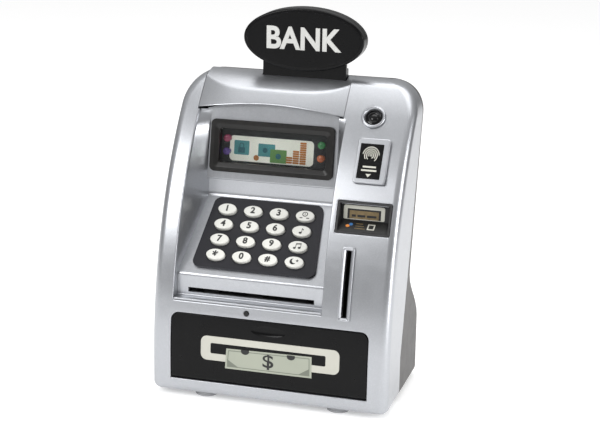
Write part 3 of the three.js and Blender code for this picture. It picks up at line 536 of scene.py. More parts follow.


# In each look the paler edge colour and its amount lighten the edges, as wear and as painted edge highlight.
looks = {
    "silverPaint": {"colour": "a9abaf", "rough": (0.30, 0.34), "metal": 0.88, "flakes": 3600.0,
                    "grain": 1500.0,
                    "bump": 0.05, "shade": 0.98, "wornAndLitEdge": "cfd0d3", "wearAndHighlight": 0.08, "coat": 0.1,
                    "coatRough": 0.2},
    "greyShell": {"colour": "434140", "rough": (0.46, 0.53), "grain": 2400.0, "bump": 0.3,
                  "relief": 0.00006,
                  "wornAndLitEdge": "565452", "wearAndHighlight": 0.15, "shade": 0.93},
    "glossBlack": {"colour": "070708", "rough": (0.22, 0.30), "grain": 900.0, "bump": 0.04,
                   "wornAndLitEdge": "1c1c1e",
                   "wearAndHighlight": 0.3, "shade": 0.8, "specular": 0.16},
    "satinBlack": {"colour": "1a191b", "rough": (0.38, 0.46), "grain": 2200.0, "bump": 0.2,
                   "wornAndLitEdge": "3a3a3c",
                   "wearAndHighlight": 0.4, "shade": 0.88, "specular": 0.4},
    "keypadInk": {"colour": "18181e", "rough": (0.36, 0.44), "grain": 2000.0, "bump": 0.14,
                  "wornAndLitEdge": "32313a",
                  "wearAndHighlight": 0.4, "shade": 0.9, "specular": 0.3},
    "bezelBrown": {"colour": "171615", "rough": (0.3, 0.38), "grain": 1900.0, "bump": 0.12,
                   "wornAndLitEdge": "3a3836",
                   "wearAndHighlight": 0.4, "shade": 0.85, "specular": 0.35},
    "keyIvory": {"colour": "d2d2cc", "rough": (0.30, 0.42), "grain": 1800.0, "bump": 0.08, "shade": 0.93,
                 "wornAndLitEdge": "efefe9", "wearAndHighlight": 0.3},
    "inkBlack": {"colour": "161616", "rough": (0.4, 0.5), "grain": 1500.0, "bump": 0.05},
    "printGrey": {"colour": "b9b8ae", "rough": (0.42, 0.52), "grain": 1300.0, "bump": 0.06, "shade": 0.93},
    "printPale": {"colour": "9da193", "rough": (0.45, 0.55), "grain": 1300.0, "bump": 0.06, "shade": 0.93},
    "printShade": {"colour": "6f7468", "rough": (0.45, 0.55), "grain": 1300.0, "bump": 0.06},
    "signWhite": {"colour": "bcbcb9", "rough": (0.34, 0.44), "grain": 1300.0, "bump": 0.06, "shade": 0.94},
    # The display card's cream glows as painted light, to lift the card out of the shade behind the display
    # window.
    "cardCreamPaintedGlow": {"colour": "efecdf", "rough": (0.5, 0.62), "grain": 900.0, "bump": 0.1, "shade": 0.97,
                  "glow": 0.28},
    "cardTeal": {"colour": "4fa3a6", "rough": (0.5, 0.6), "shade": 0.85},
    "cardGreen": {"colour": "6fa552", "rough": (0.5, 0.6), "shade": 0.85},
    "cardDarkTeal": {"colour": "23707c", "rough": (0.5, 0.6)},
    "cardOrange": {"colour": "d98636", "rough": (0.5, 0.6), "shade": 0.8},
    "cardBlack": {"colour": "101012", "rough": (0.5, 0.65)},
    "cardBronze": {"colour": "7d6b4a", "rough": (0.35, 0.5), "metal": 0.3, "shade": 0.6, "patch": 300.0},
    "cardBlue": {"colour": "3a6fa8", "rough": (0.4, 0.5)},
    "lampRed": {"colour": "b8456a", "rough": (0.12, 0.2), "glow": 0.12, "coat": 0.6},
    "lampViolet": {"colour": "5b3a92", "rough": (0.12, 0.2), "glow": 0.12, "coat": 0.6},
    "lampGreen": {"colour": "3c8f50", "rough": (0.12, 0.2), "glow": 0.12, "coat": 0.6},
    "lampAmber": {"colour": "c9683a", "rough": (0.12, 0.2), "glow": 0.12, "coat": 0.6},
    "lensGlass": {"colour": "050506", "rough": (0.05, 0.1), "specular": 0.35, "bump": 0.01},
    "rubber": {"colour": "232323", "rough": (0.7, 0.85), "grain": 1600.0, "bump": 0.4, "relief": 0.00008},
    "rollerRubber": {"colour": "3a3a3c", "rough": (0.62, 0.78), "grain": 2600.0, "bump": 0.4},
    "footRubber": {"colour": "9d9ea1", "rough": (0.55, 0.7), "grain": 1600.0, "bump": 0.3},
    "board": {"colour": "2c6a3a", "rough": (0.35, 0.5), "patch": 90.0, "shade": 0.7},
    "steel": {"colour": "a4a5a8", "rough": (0.22, 0.38), "metal": 1.0, "grain": 1900.0, "wornAndLitEdge": "d0d0d0",
              "wearAndHighlight": 0.4},
    "batteryWrap": {"colour": "3b4d63", "rough": (0.25, 0.4), "metal": 0.5, "patch": 60.0},
    "nylon": {"colour": "e3dfd0", "rough": (0.45, 0.58), "shade": 0.92},
    "clearPane": {"colour": "f4f8f8", "rough": (0.02, 0.06), "clear": 1.0, "bump": 0.01},
}
paint = {name: finish(name, look) for name, look in looks.items()}
print("finishes made:", len(paint))


# Front shell
shellSteps = {"corner": 9, "foot": 7, "middle": 34, "top": 16, "edgeRound": 0.8}
hinge = {"y": 2.25, "z": 14.6, "pinHole": 1.25, "barrel": 1.95}  # the money door's
column = {"lens": (50.8, 178.4), "tile": (54.8, 154.2, 10.2, 14.7), "label": (53.9, -0.4, 7.35, 11.4),
          "coinX": 47.6, "coinZ": (61.5, 105.7)}


def arc(x, y, r, start, steps):
    return [(x + r * math.cos(t), y + r * math.sin(t)) for t in
            (start + math.pi / 2 * i / steps for i in range(steps + 1))]


def shellLevels():
    low, high = floorZ, top - housing["topCorner"]
    foot = [low + housing["footRound"] * (1 - math.cos(math.pi / 2 * i / shellSteps["foot"]))
            for i in range(shellSteps["foot"] + 1)]
    step = (high - foot[-1]) / shellSteps["middle"]
    middle = [foot[-1] + step * (i + 1) for i in range(shellSteps["middle"])]
    cap = [high + housing["topCorner"] * math.sin(math.pi / 2 * (i + 1) / shellSteps["top"])
           for i in range(shellSteps["top"])]
    levels = [z for z in foot + middle + cap if abs(z - housing["partingBend"]) > 1.2]
    return sorted(levels + [housing["partingBend"]])


def frontRing(z, inset, y0, y1):
    w = halfWidth(z + inset) - inset
    r = max(housing["faceRound"] - inset, 0.8)
    n = shellSteps["corner"]
    plan = arc(-w + r, y0 + r, r, math.pi, n) + arc(w - r, y0 + r, r, 1.5 * math.pi, n)
    plan += [(w, y1), (-w, y1)]
    return [(x, y, z) for x, y in plan]


def topRound(z):  # the front edge of the roof
    t = min(max((z - top + 3) / 3, 0), 1)
    return 6 * (1 - math.sqrt(1 - t * t))


def makeFrontShell():
    levels = shellLevels()
    body = skin("front_housing", [
        frontRing(z, footLoss(z), face(z) + footLoss(z) + topRound(z), parting(z)) for z in levels])
    low, high = floorZ + 2.2, top - wall
    inner = [low + (z - floorZ) / (top - floorZ) * (high - low) for z in levels]
    hollow = skin("hollow", [
        frontRing(z, wall, face(z) + wall / math.cos(lean(z)), parting(z) + 6) for z in inner])
    carve(body, hollow)
    r = shellSteps["edgeRound"]
    bayEdges = (housing[k] for k in ("bayLeft", "bayRight", "bayFloor", "bayTop"))
    carve(body, faceCutter("bay", boxOutline(*bayEdges, 0.9, 24), r, 130))
    carve(body, block("seat", housing["hoodLeft"], housing["hoodRight"], 30, 130, 175.9, 230))
    carve(body, faceCutter("doorway", boxOutline(-64, 64, 12.3, 55.9, 5, 14, 0.5), 0.6, 9.0))
    carve(body, faceCutter("reader", boxOutline(36.8, 71.4, 113, 131.8, 1.0, 8), 0.7, 60))
    carve(body, faceCutter("coins", boxOutline(45, 50.2, 62.5, 104.7, 0.8, 10), 0.3, 30))
    (lensX, lensZ), (tileX, tileZ) = column["lens"], column["tile"][:2]
    carve(body, slab("lens", tiltedAt(lensZ), circle(5.6, 48), (-12, 8), lensX))
    carve(body, slab("tile", tiltedAt(tileZ), roundedBox(8.7, 13.2, 1), (-12, 8), tileX))
    carve(body, rod("lamp", "y", 1.9, housing["keysX"], 59.6, -3, 8))
    for side in (-1, 1):
        x0, x1 = sorted((side * 64.7, side * 72.8))
        fuse(body, block("hinge", x0, x1, 1.2, 5.4, 11.6, 17.6))
        x0, x1 = sorted((side * 68.5, side * 73))
        fuse(body, block("web", x0, x1, 18, 34.3, 4.3, 12),
             rod("post", "y", 4, side * 68.5, 10.5, 18, 34.3))
    carve(body, rod("pinHole", "x", hinge["pinHole"], hinge["y"], hinge["z"], -71.4, 71.4))
    return done(body, "housing", paint["silverPaint"], ["front_shell"], 32)


makeFrontShell()
print("front shell made")

# Rear shell
rearKit = {
    "corner": 14, "well": (28.5, 73.3, 6.2, 51.5), "cover": (31.5, 5.6, 53.2), "ear": (35.4, 29),
    "switch": (50, 32), "speaker": (0, 128), "holePitch": 5.0, "holeRadius": 1.1,
    "screwX": 68.5, "screwZ": 10.5,
}


def rearRing(z, inset, y0, y1):
    w = max(halfWidth(z + inset * 0.6) - inset, 20)
    r = max(min(rearRound(z), y1 - y0 - 0.4) - inset, 1)
    n = rearKit["corner"]
    plan = [(-w, y0), (w, y0)] + arc(w - r, y1 - r, r, 0, n) + arc(-w + r, y1 - r, r, math.pi / 2, n)
    return [(x, y, z) for x, y in plan]


def coverOutline(grow, thick, outward=0.0, steps=26):
    low, high = rearKit["cover"][1:]
    heights = [low - grow + (high - low + 2 * grow) * i / steps for i in range(steps + 1)]
    return [(rear(z) + outward, z) for z in heights] + [(rear(z) - thick, z) for z in reversed(heights)]


# Instances of a built shape on the points of a mesh, made real and painted.
def repeatTree(name, build, inputs):
    tree = bpy.data.node_groups.new(name, "GeometryNodeTree")
    tree.interface.new_socket("Points", in_out="INPUT", socket_type="NodeSocketGeometry")
    for label, kind, value in inputs:
        socket = tree.interface.new_socket(label, in_out="INPUT", socket_type=kind)
        socket.default_value = value
    tree.interface.new_socket("Finish", in_out="INPUT", socket_type="NodeSocketMaterial")
    tree.interface.new_socket("Made", in_out="OUTPUT", socket_type="NodeSocketGeometry")
    given, out = tree.nodes.new("NodeGroupInput"), tree.nodes.new("NodeGroupOutput")
    shape, turn = build(tree, given)
    spread = tree.nodes.new("GeometryNodeInstanceOnPoints")
    wire(tree, given.outputs["Points"], spread.inputs["Points"])
    wire(tree, shape, spread.inputs["Instance"])
    spread.inputs["Rotation"].default_value = turn
    real, coat = tree.nodes.new("GeometryNodeRealizeInstances"), tree.nodes.new("GeometryNodeSetMaterial")
    wire(tree, spread.outputs[0], real.inputs[0])
    wire(tree, real.outputs[0], coat.inputs[0])
    wire(tree, given.outputs["Finish"], coat.inputs["Material"])
    wire(tree, coat.outputs[0], out.inputs[0])
    return tree


# One plain mesh from a repeat tree over the points.
def repeated(name, tree, points, material, **values):
    mesh = bpy.data.meshes.new(name)
    mesh.from_pydata([place(*p) for p in points], [], [])
    piece = bpy.data.objects.new(name, mesh)
    bpy.context.scene.collection.objects.link(piece)
    step = piece.modifiers.new("repeat", "NODES")
    step.node_group = tree
    for item in tree.interface.items_tree:
        if item.item_type == "SOCKET" and item.in_out == "INPUT" and item.name in values:
            step[item.identifier] = values[item.name]
        if item.item_type == "SOCKET" and item.name == "Finish":
            step[item.identifier] = material
    return bakeModifiers(piece)


# A plain cylinder, laid along the turn's direction.
def tubeShape(sides, turn):
    def build(tree, given):
        node = tree.nodes.new("GeometryNodeMeshCylinder")
        node.inputs["Vertices"].default_value = sides
        wire(tree, given.outputs["Radius"], node.inputs["Radius"])
        wire(tree, given.outputs["Length"], node.inputs["Depth"])
        return node.outputs["Mesh"], turn
    return build


# A pan head with a cross recess.
def screwShape(tree, given):
    head = tree.nodes.new("GeometryNodeMeshCylinder")
    head.inputs["Vertices"].default_value = 36
    head.inputs["Side Segments"].default_value = 1
    wire(tree, given.outputs["Radius"], head.inputs["Radius"])
    wire(tree, given.outputs["Length"], head.inputs["Depth"])
    cutNode = tree.nodes.new("GeometryNodeMeshBoolean")
    wire(tree, head.outputs["Mesh"], cutNode.inputs[0])
    for spin in (0.0, math.pi / 2):
        bar, size, move = (tree.nodes.new(k) for k in
                           ("GeometryNodeMeshCube", "ShaderNodeCombineXYZ", "GeometryNodeTransform"))
        wire(tree, mathNode(tree, "MULTIPLY", given.outputs["Radius"], 1.25), size.inputs[0])
        wire(tree, mathNode(tree, "MULTIPLY", given.outputs["Radius"], 0.3), size.inputs[1])
        wire(tree, given.outputs["Length"], size.inputs[2])
        wire(tree, size.outputs[0], bar.inputs["Size"])
        wire(tree, bar.outputs["Mesh"], move.inputs[0])
        shift = tree.nodes.new("ShaderNodeCombineXYZ")
        wire(tree, mathNode(tree, "MULTIPLY", given.outputs["Length"], 0.5), shift.inputs[2])
        wire(tree, shift.outputs[0], move.inputs["Translation"])
        move.inputs["Rotation"].default_value = (0, 0, spin)
        wire(tree, move.outputs[0], cutNode.inputs[1])
    return cutNode.outputs["Mesh"], (-math.pi / 2, 0, 0)


sizes = [("Radius", "NodeSocketFloat", 0.001), ("Length", "NodeSocketFloat", 0.001)]
perforationTree = repeatTree("perforations", tubeShape(24, (math.pi / 2, 0, 0)), sizes)
ribTree = repeatTree("gripRibs", tubeShape(14, (0, math.pi / 2, 0)), sizes)
screwTree = repeatTree("crossScrews", screwShape, sizes)


def makeRearShell():
    levels = shellLevels()
    body = skin("rear_housing", [
        rearRing(z, footLoss(z), parting(z) + gap, max(rear(z) - footLoss(z), parting(z) + gap + 1.4))
        for z in levels])
    low, high = floorZ + 2.2, top - wall - 0.5
    inner = [low + (z - floorZ) / (top - floorZ) * (high - low) for z in levels]
    carve(body, skin("hollow", [rearRing(z, wall, parting(z) - 6, rear(z + 1) - wall) for z in inner]))
    half, wellFront, wellLow, wellHigh = rearKit["well"]
    ex, ez = rearKit["ear"]
    side = half + 1.6
    fuse(body, block("wellWalls", -side, side, wellFront - 1.6, depth - 3, floorZ + 0.7, wellHigh + 1.6),
         block("boss", 29, ex + 6, depth - 10, depth - 1, ez - 7.8, ez + 7.8))
    coverHalf = rearKit["cover"][0]
    carve(body, block("well", -half, half, wellFront, 110, wellLow, wellHigh),
          sideways("seat", coverOutline(gap, 2.3, 4), -coverHalf - gap, coverHalf + gap),
          block("earSeat", 30, ex + 4.7, depth - 3.7, 110, ez - 6.3, ez + 6.3),
          rod("earHole", "y", 1.5, ex, ez, 60, 110))
    sx, sz = rearKit["switch"]
    carve(body, block("switchHole", sx - 6.2, sx + 6.2, 80, 110, sz - 2.2, sz + 2.2))
    for side in (-1, 1):
        x, z = side * rearKit["screwX"], rearKit["screwZ"]
        x0, x1 = sorted((x, side * 73))
        fuse(body, rod("post", "y", 4, x, z, 34.9, 84),
             block("web", x0, x1, 34.9, 84, floorZ + 1, z + 1.5))
        carve(body, rod("bore", "y", 1.8, x, z, 30, 110),
              rod("counterBore", "y", 3.2, x, z, 46, 110))
    cx, cz = rearKit["speaker"]
    pitch = rearKit["holePitch"]
    grid = [(i, k) for k in range(-2, 3) for i in range(-2, 3) if abs(i) + abs(k) < 4]
    spots = [(cx + i * pitch, 78, cz + k * pitch) for i, k in grid]
    carve(body, repeated("grille", perforationTree, spots, paint["greyShell"],
                         Radius=rearKit["holeRadius"] / 1000, Length=0.03))
    return done(body, "housing", paint["greyShell"], ["back_shell"], 32)


makeRearShell()
print("rear shell made")

# Keypad bay
slopeRise = bay["slopeRun"] * math.sqrt(0.5)
slopeTop = (bay["noteWall"] + slopeRise, bay["slopeFoot"] + slopeRise)
keypad = {"x": housing["keysX"], "middle": 30.85, "halfW": 40.2, "halfH": 25.75, "topIn": 3.8, "corner": 5.0,
          "pitchX": 17.2, "pitchY": 11.06, "first": 14.0, "a": 6.1, "b": 3.8}
display = {"middle": 22.1, "halfW": 41.0, "halfH": 16.8, "openW": 35.5, "openH": 11.0}


def panelDepth(z):
    return bay["panelDepth"] + bay["panelLean"] * (z - bay["panelFoot"])


def sheetDepth(z):  # depth of the bay's back at a height
    if z > bay["panelFoot"]:
        return panelDepth(z)
    return bay["noteWall"] + min(max(z - bay["slopeFoot"], 0), slopeTop[0] - bay["noteWall"])


def cheekX(side, y):
    inward = max(y - bay["noteWall"], 0) * bay["draft"][side]
    return housing["bayLeft"] + 0.2 + inward if side < 0 else housing["bayRight"] - 0.2 - inward


def hoodLow(u):
    return housing["bayTop"] + 1 + 4.8 * (1 - u * u)


def makeFascia():
    t, floor1 = bay["thick"], housing["bayFloor"]
    front = [
        (face(floor1) + 0.6, floor1 + 0.3), (face(floor1) + 0.6, floor1 + 1.4),
        (bay["noteWall"], floor1 + 1.4),
        (bay["noteWall"], bay["slopeFoot"]), slopeTop, (slopeTop[0], bay["panelFoot"]),
        (bay["panelDepth"], bay["panelFoot"]), (panelDepth(bay["panelTop"]), bay["panelTop"]),
    ]
    front = roundLine(front, [0, 0.5, 1.0, bay["round"], 2.2, 1.0, 1.0, 0], 5)
    behind = [
        (panelDepth(bay["panelTop"]) + t, bay["panelTop"]),
        (bay["panelDepth"] + t + 1.6, bay["panelFoot"] + t),
        (slopeTop[0] + t, bay["panelFoot"] + t), (slopeTop[0] + t, slopeTop[1] - 0.8),
        (bay["noteWall"] + t, bay["slopeFoot"] - 0.8), (bay["noteWall"] + t, floor1 + 0.3),
    ]
    body = sideways("keypad_bay", front + behind, housing["bayLeft"] + 0.35, housing["bayRight"] - 0.35)
    cheekThick = 1.4
    for side in (-1, 1):
        edge = housing["bayLeft"] - 0.1 if side < 0 else housing["bayRight"] + 0.1
        heights = [63.8 + 2.5 * i for i in range(45)] + [bay["slopeFoot"], 131.4, 131.6, 175.6]
        rings = []
        for z in sorted(h for h in heights if h <= 175.6):
            near, far = face(z) + wall / math.cos(lean(z)) + 0.4, sheetDepth(z)
            end = cheekX(side, far)
            ring = [(edge, near), (end, far), (end, far + 0.9)]
            ring += [(end + side * cheekThick, far + 0.9), (edge + side * cheekThick, near)]
            rings.append([(x, y, z) for x, y in ring])
        fuse(body, skin("cheek", rings))
    middle = (housing["bayLeft"] + housing["bayRight"]) / 2
    steps = [(-1 + i / 12) for i in range(25)]
    stretch = math.hypot(1, bay["panelLean"])
    edge = [(middle + u * 43.5, (hoodLow(u) + 0.5 - 1.2 * u * u - bay["panelFoot"]) * stretch) for u in steps]
    apron = [(middle - 42, 36.0)] + edge + [(middle + 42, 36.0)]
    fuse(body, slab("apron", onPanel, apron, (-1.9, 0)))
    keysX = housing["keysX"]
    carve(body,
          slab("keyWindow", onSlope, roundedBox(37.7, 23.25, 4, 3.8), (-10, 10), keysX, keypad["middle"]),
          slab("screen", onPanel, roundedBox(39, 14.8, 3), (-10, 10), keysX, display["middle"]),
          block("noteSlot", keysX - 41.2, keysX + 41.2, 0, 20, bay["noteZ"] - 1.5, bay["noteZ"] + 1.5))
    for x, y1 in ((-59.6, 48), (28.6, 31)):  # roller brackets
        bracket = sideways("bracket", [(bay["noteWall"] + 1, 57), (y1, 57), (y1, 71), (30, 78),
                                       (bay["noteWall"] + 1, 78)], x, x + 1.6)
        carve(bracket, rod("a", "x", 1.7, 26, 63, x - 1, x + 3), rod("b", "x", 1.5, 26, 73.4, x - 1, x + 3),
              rod("c", "x", 1.3, 38.8, 63, x - 1, x + 3))
        fuse(body, bracket)
    return done(body, "housing", paint["silverPaint"], ["bay_fascia"], 32)


makeFascia()
print("keypad bay made")

# Hood over the display
hoodShape = {"bulge": 5.5, "arch": 4.8, "crest": 194.8, "rings": 56}


def makeHood():
    half = (housing["hoodRight"] - housing["hoodLeft"]) / 2 - gap
    middle = (housing["hoodLeft"] + housing["hoodRight"]) / 2
    back = parting(top) - gap
    loops = []
    for i in range(hoodShape["rings"] + 1):
        u = math.sin((-1 + 2 * i / hoodShape["rings"]) * math.pi / 2)
        swell = 1 - u**4
        low, high = hoodLow(u), hoodShape["crest"] - hoodShape["arch"] * swell
        front = [(face(low + t * (high - low)) - hoodShape["bulge"] * swell, low + t * (high - low))
                 for t in (0, 0.25, 0.5, 0.75, 1)]
        roof = [(front[-1][0] + t * (back - front[-1][0]), high + (top - high) * math.sin(t * math.pi / 2))
                for t in (0.15, 0.3, 0.45, 0.6, 0.8, 1)]
        under = [(parting(top - 2.2) - gap, top - 2.2), (70.8, top - 4.6),
                 (front[3][0] + 3.6, front[3][1] - 1.2), (front[1][0] + 3.4, front[1][1] - 0.2),
                 (front[0][0] + 3.2, low)]
        section = front + roof + under
        radii = [1.0, 0, 0, 0, 1.8] + [0] * 6 + [0, 2, 2, 0, 0.8]
        section = roundLine([under[-1]] + section + [front[0]], [0] + radii + [0], 4)[1:-1]
        loops.append([(middle + u * half, y, z) for y, z in section])
    body = skin("display_brow", loops)
    carve(body, block("neckSlot", -28, 28, 73.2, 80.8, top - 20, top + 10))
    return done(body, "housing", paint["silverPaint"], ["display_hood"], 38)


makeHood()

# Oval sign
sign = {"z": 221.2, "a": 39.5, "b": 20.0, "face": 70.0, "bevel": 1.3, "text": "BANK"}


def ellipseLoop(grow, y, count=96):
    return [((sign["a"] + grow) * math.cos(t), y, sign["z"] + (sign["b"] + grow) * math.sin(t))
            for t in (2 * math.pi * i / count for i in range(count))]


def makeSign():
    front, bevel = sign["face"], sign["bevel"]
    stages = [(-0.2, front + 6.3), (0, front + 6.1)]
    stages += [(-bevel * (1 - math.cos(t)), front + bevel * (1 - math.sin(t))) for t in quarterTurn(5)]
    stages += [(-2.1, front), (-2.3, front + 0.18), (-2.6, front + 0.18)]
    plate = skin("sign_plate", [ellipseLoop(g, y) for g, y in stages])
    neck = block("neck", -27.5, 27.5, 73.5, 80.5, top - 12.6, sign["z"] - 12, 0.6)
    flange = block("flange", -31, 31, 73.5, 80.5, top - 12.6, top - 8.2)
    carve(neck, block("trim", -60, 60, front + 6.3, 100, sign["z"] - 18, 260))
    fuse(plate, fuse(neck, flange))
    done(plate, "housing", paint["glossBlack"], ["sign_front"], 32)
    rounds = [(0, front + 6.6), (0, front + 11.0)]
    rounds += [(-1.2 * (1 - math.cos(t)), front + 11.0 + 1.2 * math.sin(t)) for t in quarterTurn(4, 1)]
    backing = skin("sign_backing", [ellipseLoop(g, y) for g, y in rounds])
    carve(backing, block("neckRoom", -29, 29, 60, 80.9, 190, sign["z"] - 17.7))
    done(backing, "housing", paint["glossBlack"], ["sign_back"], 32)
    printed("sign_letters", lettering(sign["text"], 19.6, 0.55), lambda u, v, h: (u, front + 0.18 - h, v),
            -0.5, sign["z"], 0.0, paint["signWhite"], "housing", 0.55, stretch=(0.93, 1.0))


makeSign()
print("hood and sign made")

# Keypad
keyRows = [["key_1", "key_2", "key_3", "key_deposit"], ["key_4", "key_5", "key_6", "key_song"],
           ["key_7", "key_8", "key_9", "key_music"], ["key_star", "key_0", "key_hash", "key_lullaby"]]


def keySpot(i, j):
    return keypad["x"] + (i - 1.5) * keypad["pitchX"], keypad["first"] + (3 - j) * keypad["pitchY"]


def makeKeypadPlate():
    holes = [[(x - keypad["x"] + u, along - keypad["middle"] + v)
              for u, v in circle(keypad["a"] + 0.35, 40, (keypad["b"] + 0.35) / (keypad["a"] + 0.35))]
             for i in range(4) for j in range(4) for x, along in [keySpot(i, j)]]
    outer = roundedBox(keypad["halfW"], keypad["halfH"], keypad["corner"], keypad["topIn"], 8)
    bm = bmesh.new()
    mesh = flatShape([outer, *holes], 0.53, 0.22)
    bm.from_mesh(mesh)
    for v in bm.verts:
        v.co = place(*onSlope(keypad["x"] + v.co.x, keypad["middle"] + v.co.y, 1.05 + v.co.z))
    cleanMesh(bm, 2e-6)
    panel = newObject("keypad_panel", bm)
    return done(panel, "housing", paint["keypadInk"], ["keypad_plate"], 40)


def domeLift(r):  # height of a key's crowned top, r from 0 at its middle to 1 at its rim
    return 4.3 - 0.3 * min(r, 0.86) ** 2


def keyProfile():
    skirt = [(1.18, -2.6), (1.2, -2.4), (1.2, -1.6), (1.17, -1.5), (1.0, -1.5), (1.0, 2.6)]
    rim = [(0.86 + 0.14 * math.sin(t), domeLift(0.86) - 0.72 * (1 - math.cos(t))) for t in quarterTurn(6)]
    crown = [(0.86 * (1 - i / 6), domeLift(0.86 * (1 - i / 6))) for i in range(1, 6)]
    return skirt + rim[::-1] + crown + [(0.02, 4.3)]


def star(points, outer, inner):
    tips = [(inner if k % 2 else outer, math.pi * k / points) for k in range(2 * points)]
    return [(r * math.sin(t), r * math.cos(t)) for r, t in tips]


def box2(x0, x1, y0, y1):
    return [(x0, y0), (x1, y0), (x1, y1), (x0, y1)]


def shifted(loop, du, dv):
    return [(du + u, dv + v) for u, v in loop]


def noteGlyph():  # a quaver
    return [shifted(circle(0.72, 16, 0.75), -0.3, -1.25), box2(0.18, 0.44, -1.2, 1.35),
            [(0.18, 1.4), (0.18, 0.7), (1.1, 0.1), (1.15, 0.6)]]


# Meshes of a key's mark: numerals are letters, the others are small pictures.
def keyLegend(name):
    marks = {"key_star": "*", "key_hash": "#"}
    last = name.split("_")[1]
    if last.isdigit() or name in marks:
        text = marks.get(name, last)
        size = {"*": 8.2, "#": 5.2}.get(text, 5.9)
        return [(lettering(text, size, 0.22), 0, -1.3 if text == "*" else 0)]
    if name == "key_deposit":  # a coin over a slot
        coin = [shifted(circle(1.35, 28), 0, 0.65), shifted(circle(0.95, 28), 0, 0.65)]
        return [(flatShape(loops), 0, 0) for loops in
                (coin, [box2(-0.14, 0.14, 0.05, 1.25)], [box2(-2.3, 2.3, -1.7, -1.2)])]
    if name == "key_song":
        return [(flatShape([loop]), 0, 0) for loop in noteGlyph()]
    if name == "key_music":  # two beamed notes
        loops = [shifted(circle(0.68, 16, 0.75), -1.35, -1.2), shifted(circle(0.68, 16, 0.75), 0.95, -0.95),
                 box2(-0.93, -0.67, -1.2, 1.2), box2(1.37, 1.63, -0.95, 1.4),
                 [(-0.93, 0.7), (1.63, 1.0), (1.63, 1.65), (-0.93, 1.35)]]
        return [(flatShape([loop]), 0, 0) for loop in loops]
    # a moon, which is a circle less a bite, and a star
    outer, count = circle(1.6, 32), 32
    biteX, biteY, biteR = 0.75, 0.45, 1.35
    moon = [p for p in outer if not (p[0] - biteX) ** 2 + (p[1] - biteY) ** 2 < biteR**2]
    start = next(i for i in range(count) if outer[i] in moon and outer[i - 1] not in moon)
    ordered = [outer[(start + k) % count] for k in range(count) if outer[(start + k) % count] in moon]
    t0, t1 = (math.atan2(y - biteY, x - biteX) for x, y in (ordered[-1], ordered[0]))
    while t1 > t0:
        t1 -= 2 * math.pi
    sweep = [t0 + (t1 - t0) * k / 14 for k in range(1, 14)]
    bite = [(biteX + biteR * math.cos(t), biteY + biteR * math.sin(t)) for t in sweep]
    return [(flatShape([ordered + bite]), -0.6, 0),
            (flatShape([shifted(star(5, 0.85, 0.36), 1.5, 0.5)]), 0, 0)]


def makeKeys():
    for j, row in enumerate(keyRows):
        for i, name in enumerate(row):
            x, along = keySpot(i, j)
            cap = turned(name + "_cap", [(r * keypad["a"], h) for r, h in keyProfile()],
                         lambda u, v, h: onSlope(x + u, along + v, h), 44, keypad["b"] / keypad["a"])
            done(cap, name, paint["keyIvory"], [name], 40)

            def lift(u, v):
                return domeLift(math.hypot(u / keypad["a"], v / keypad["b"])) + 0.015

            picture = not name.split("_")[1].isdigit() and name not in ("key_star", "key_hash")
            grow = (1.35, 1.3) if picture else (1, 1)
            rows = (-1.5, -1, -0.5, 0, 0.5, 1, 1.5)
            for k, (mesh, du, dv) in enumerate(keyLegend(name)):
                printed(f"{name}_mark{k + 1}", mesh, lambda u, v, h: onSlope(x + u, along + v, h),
                        du, dv, lift, paint["inkBlack"], name, 0.05, rows, grow)


makeKeypadPlate()
makeKeys()
print("keypad made")

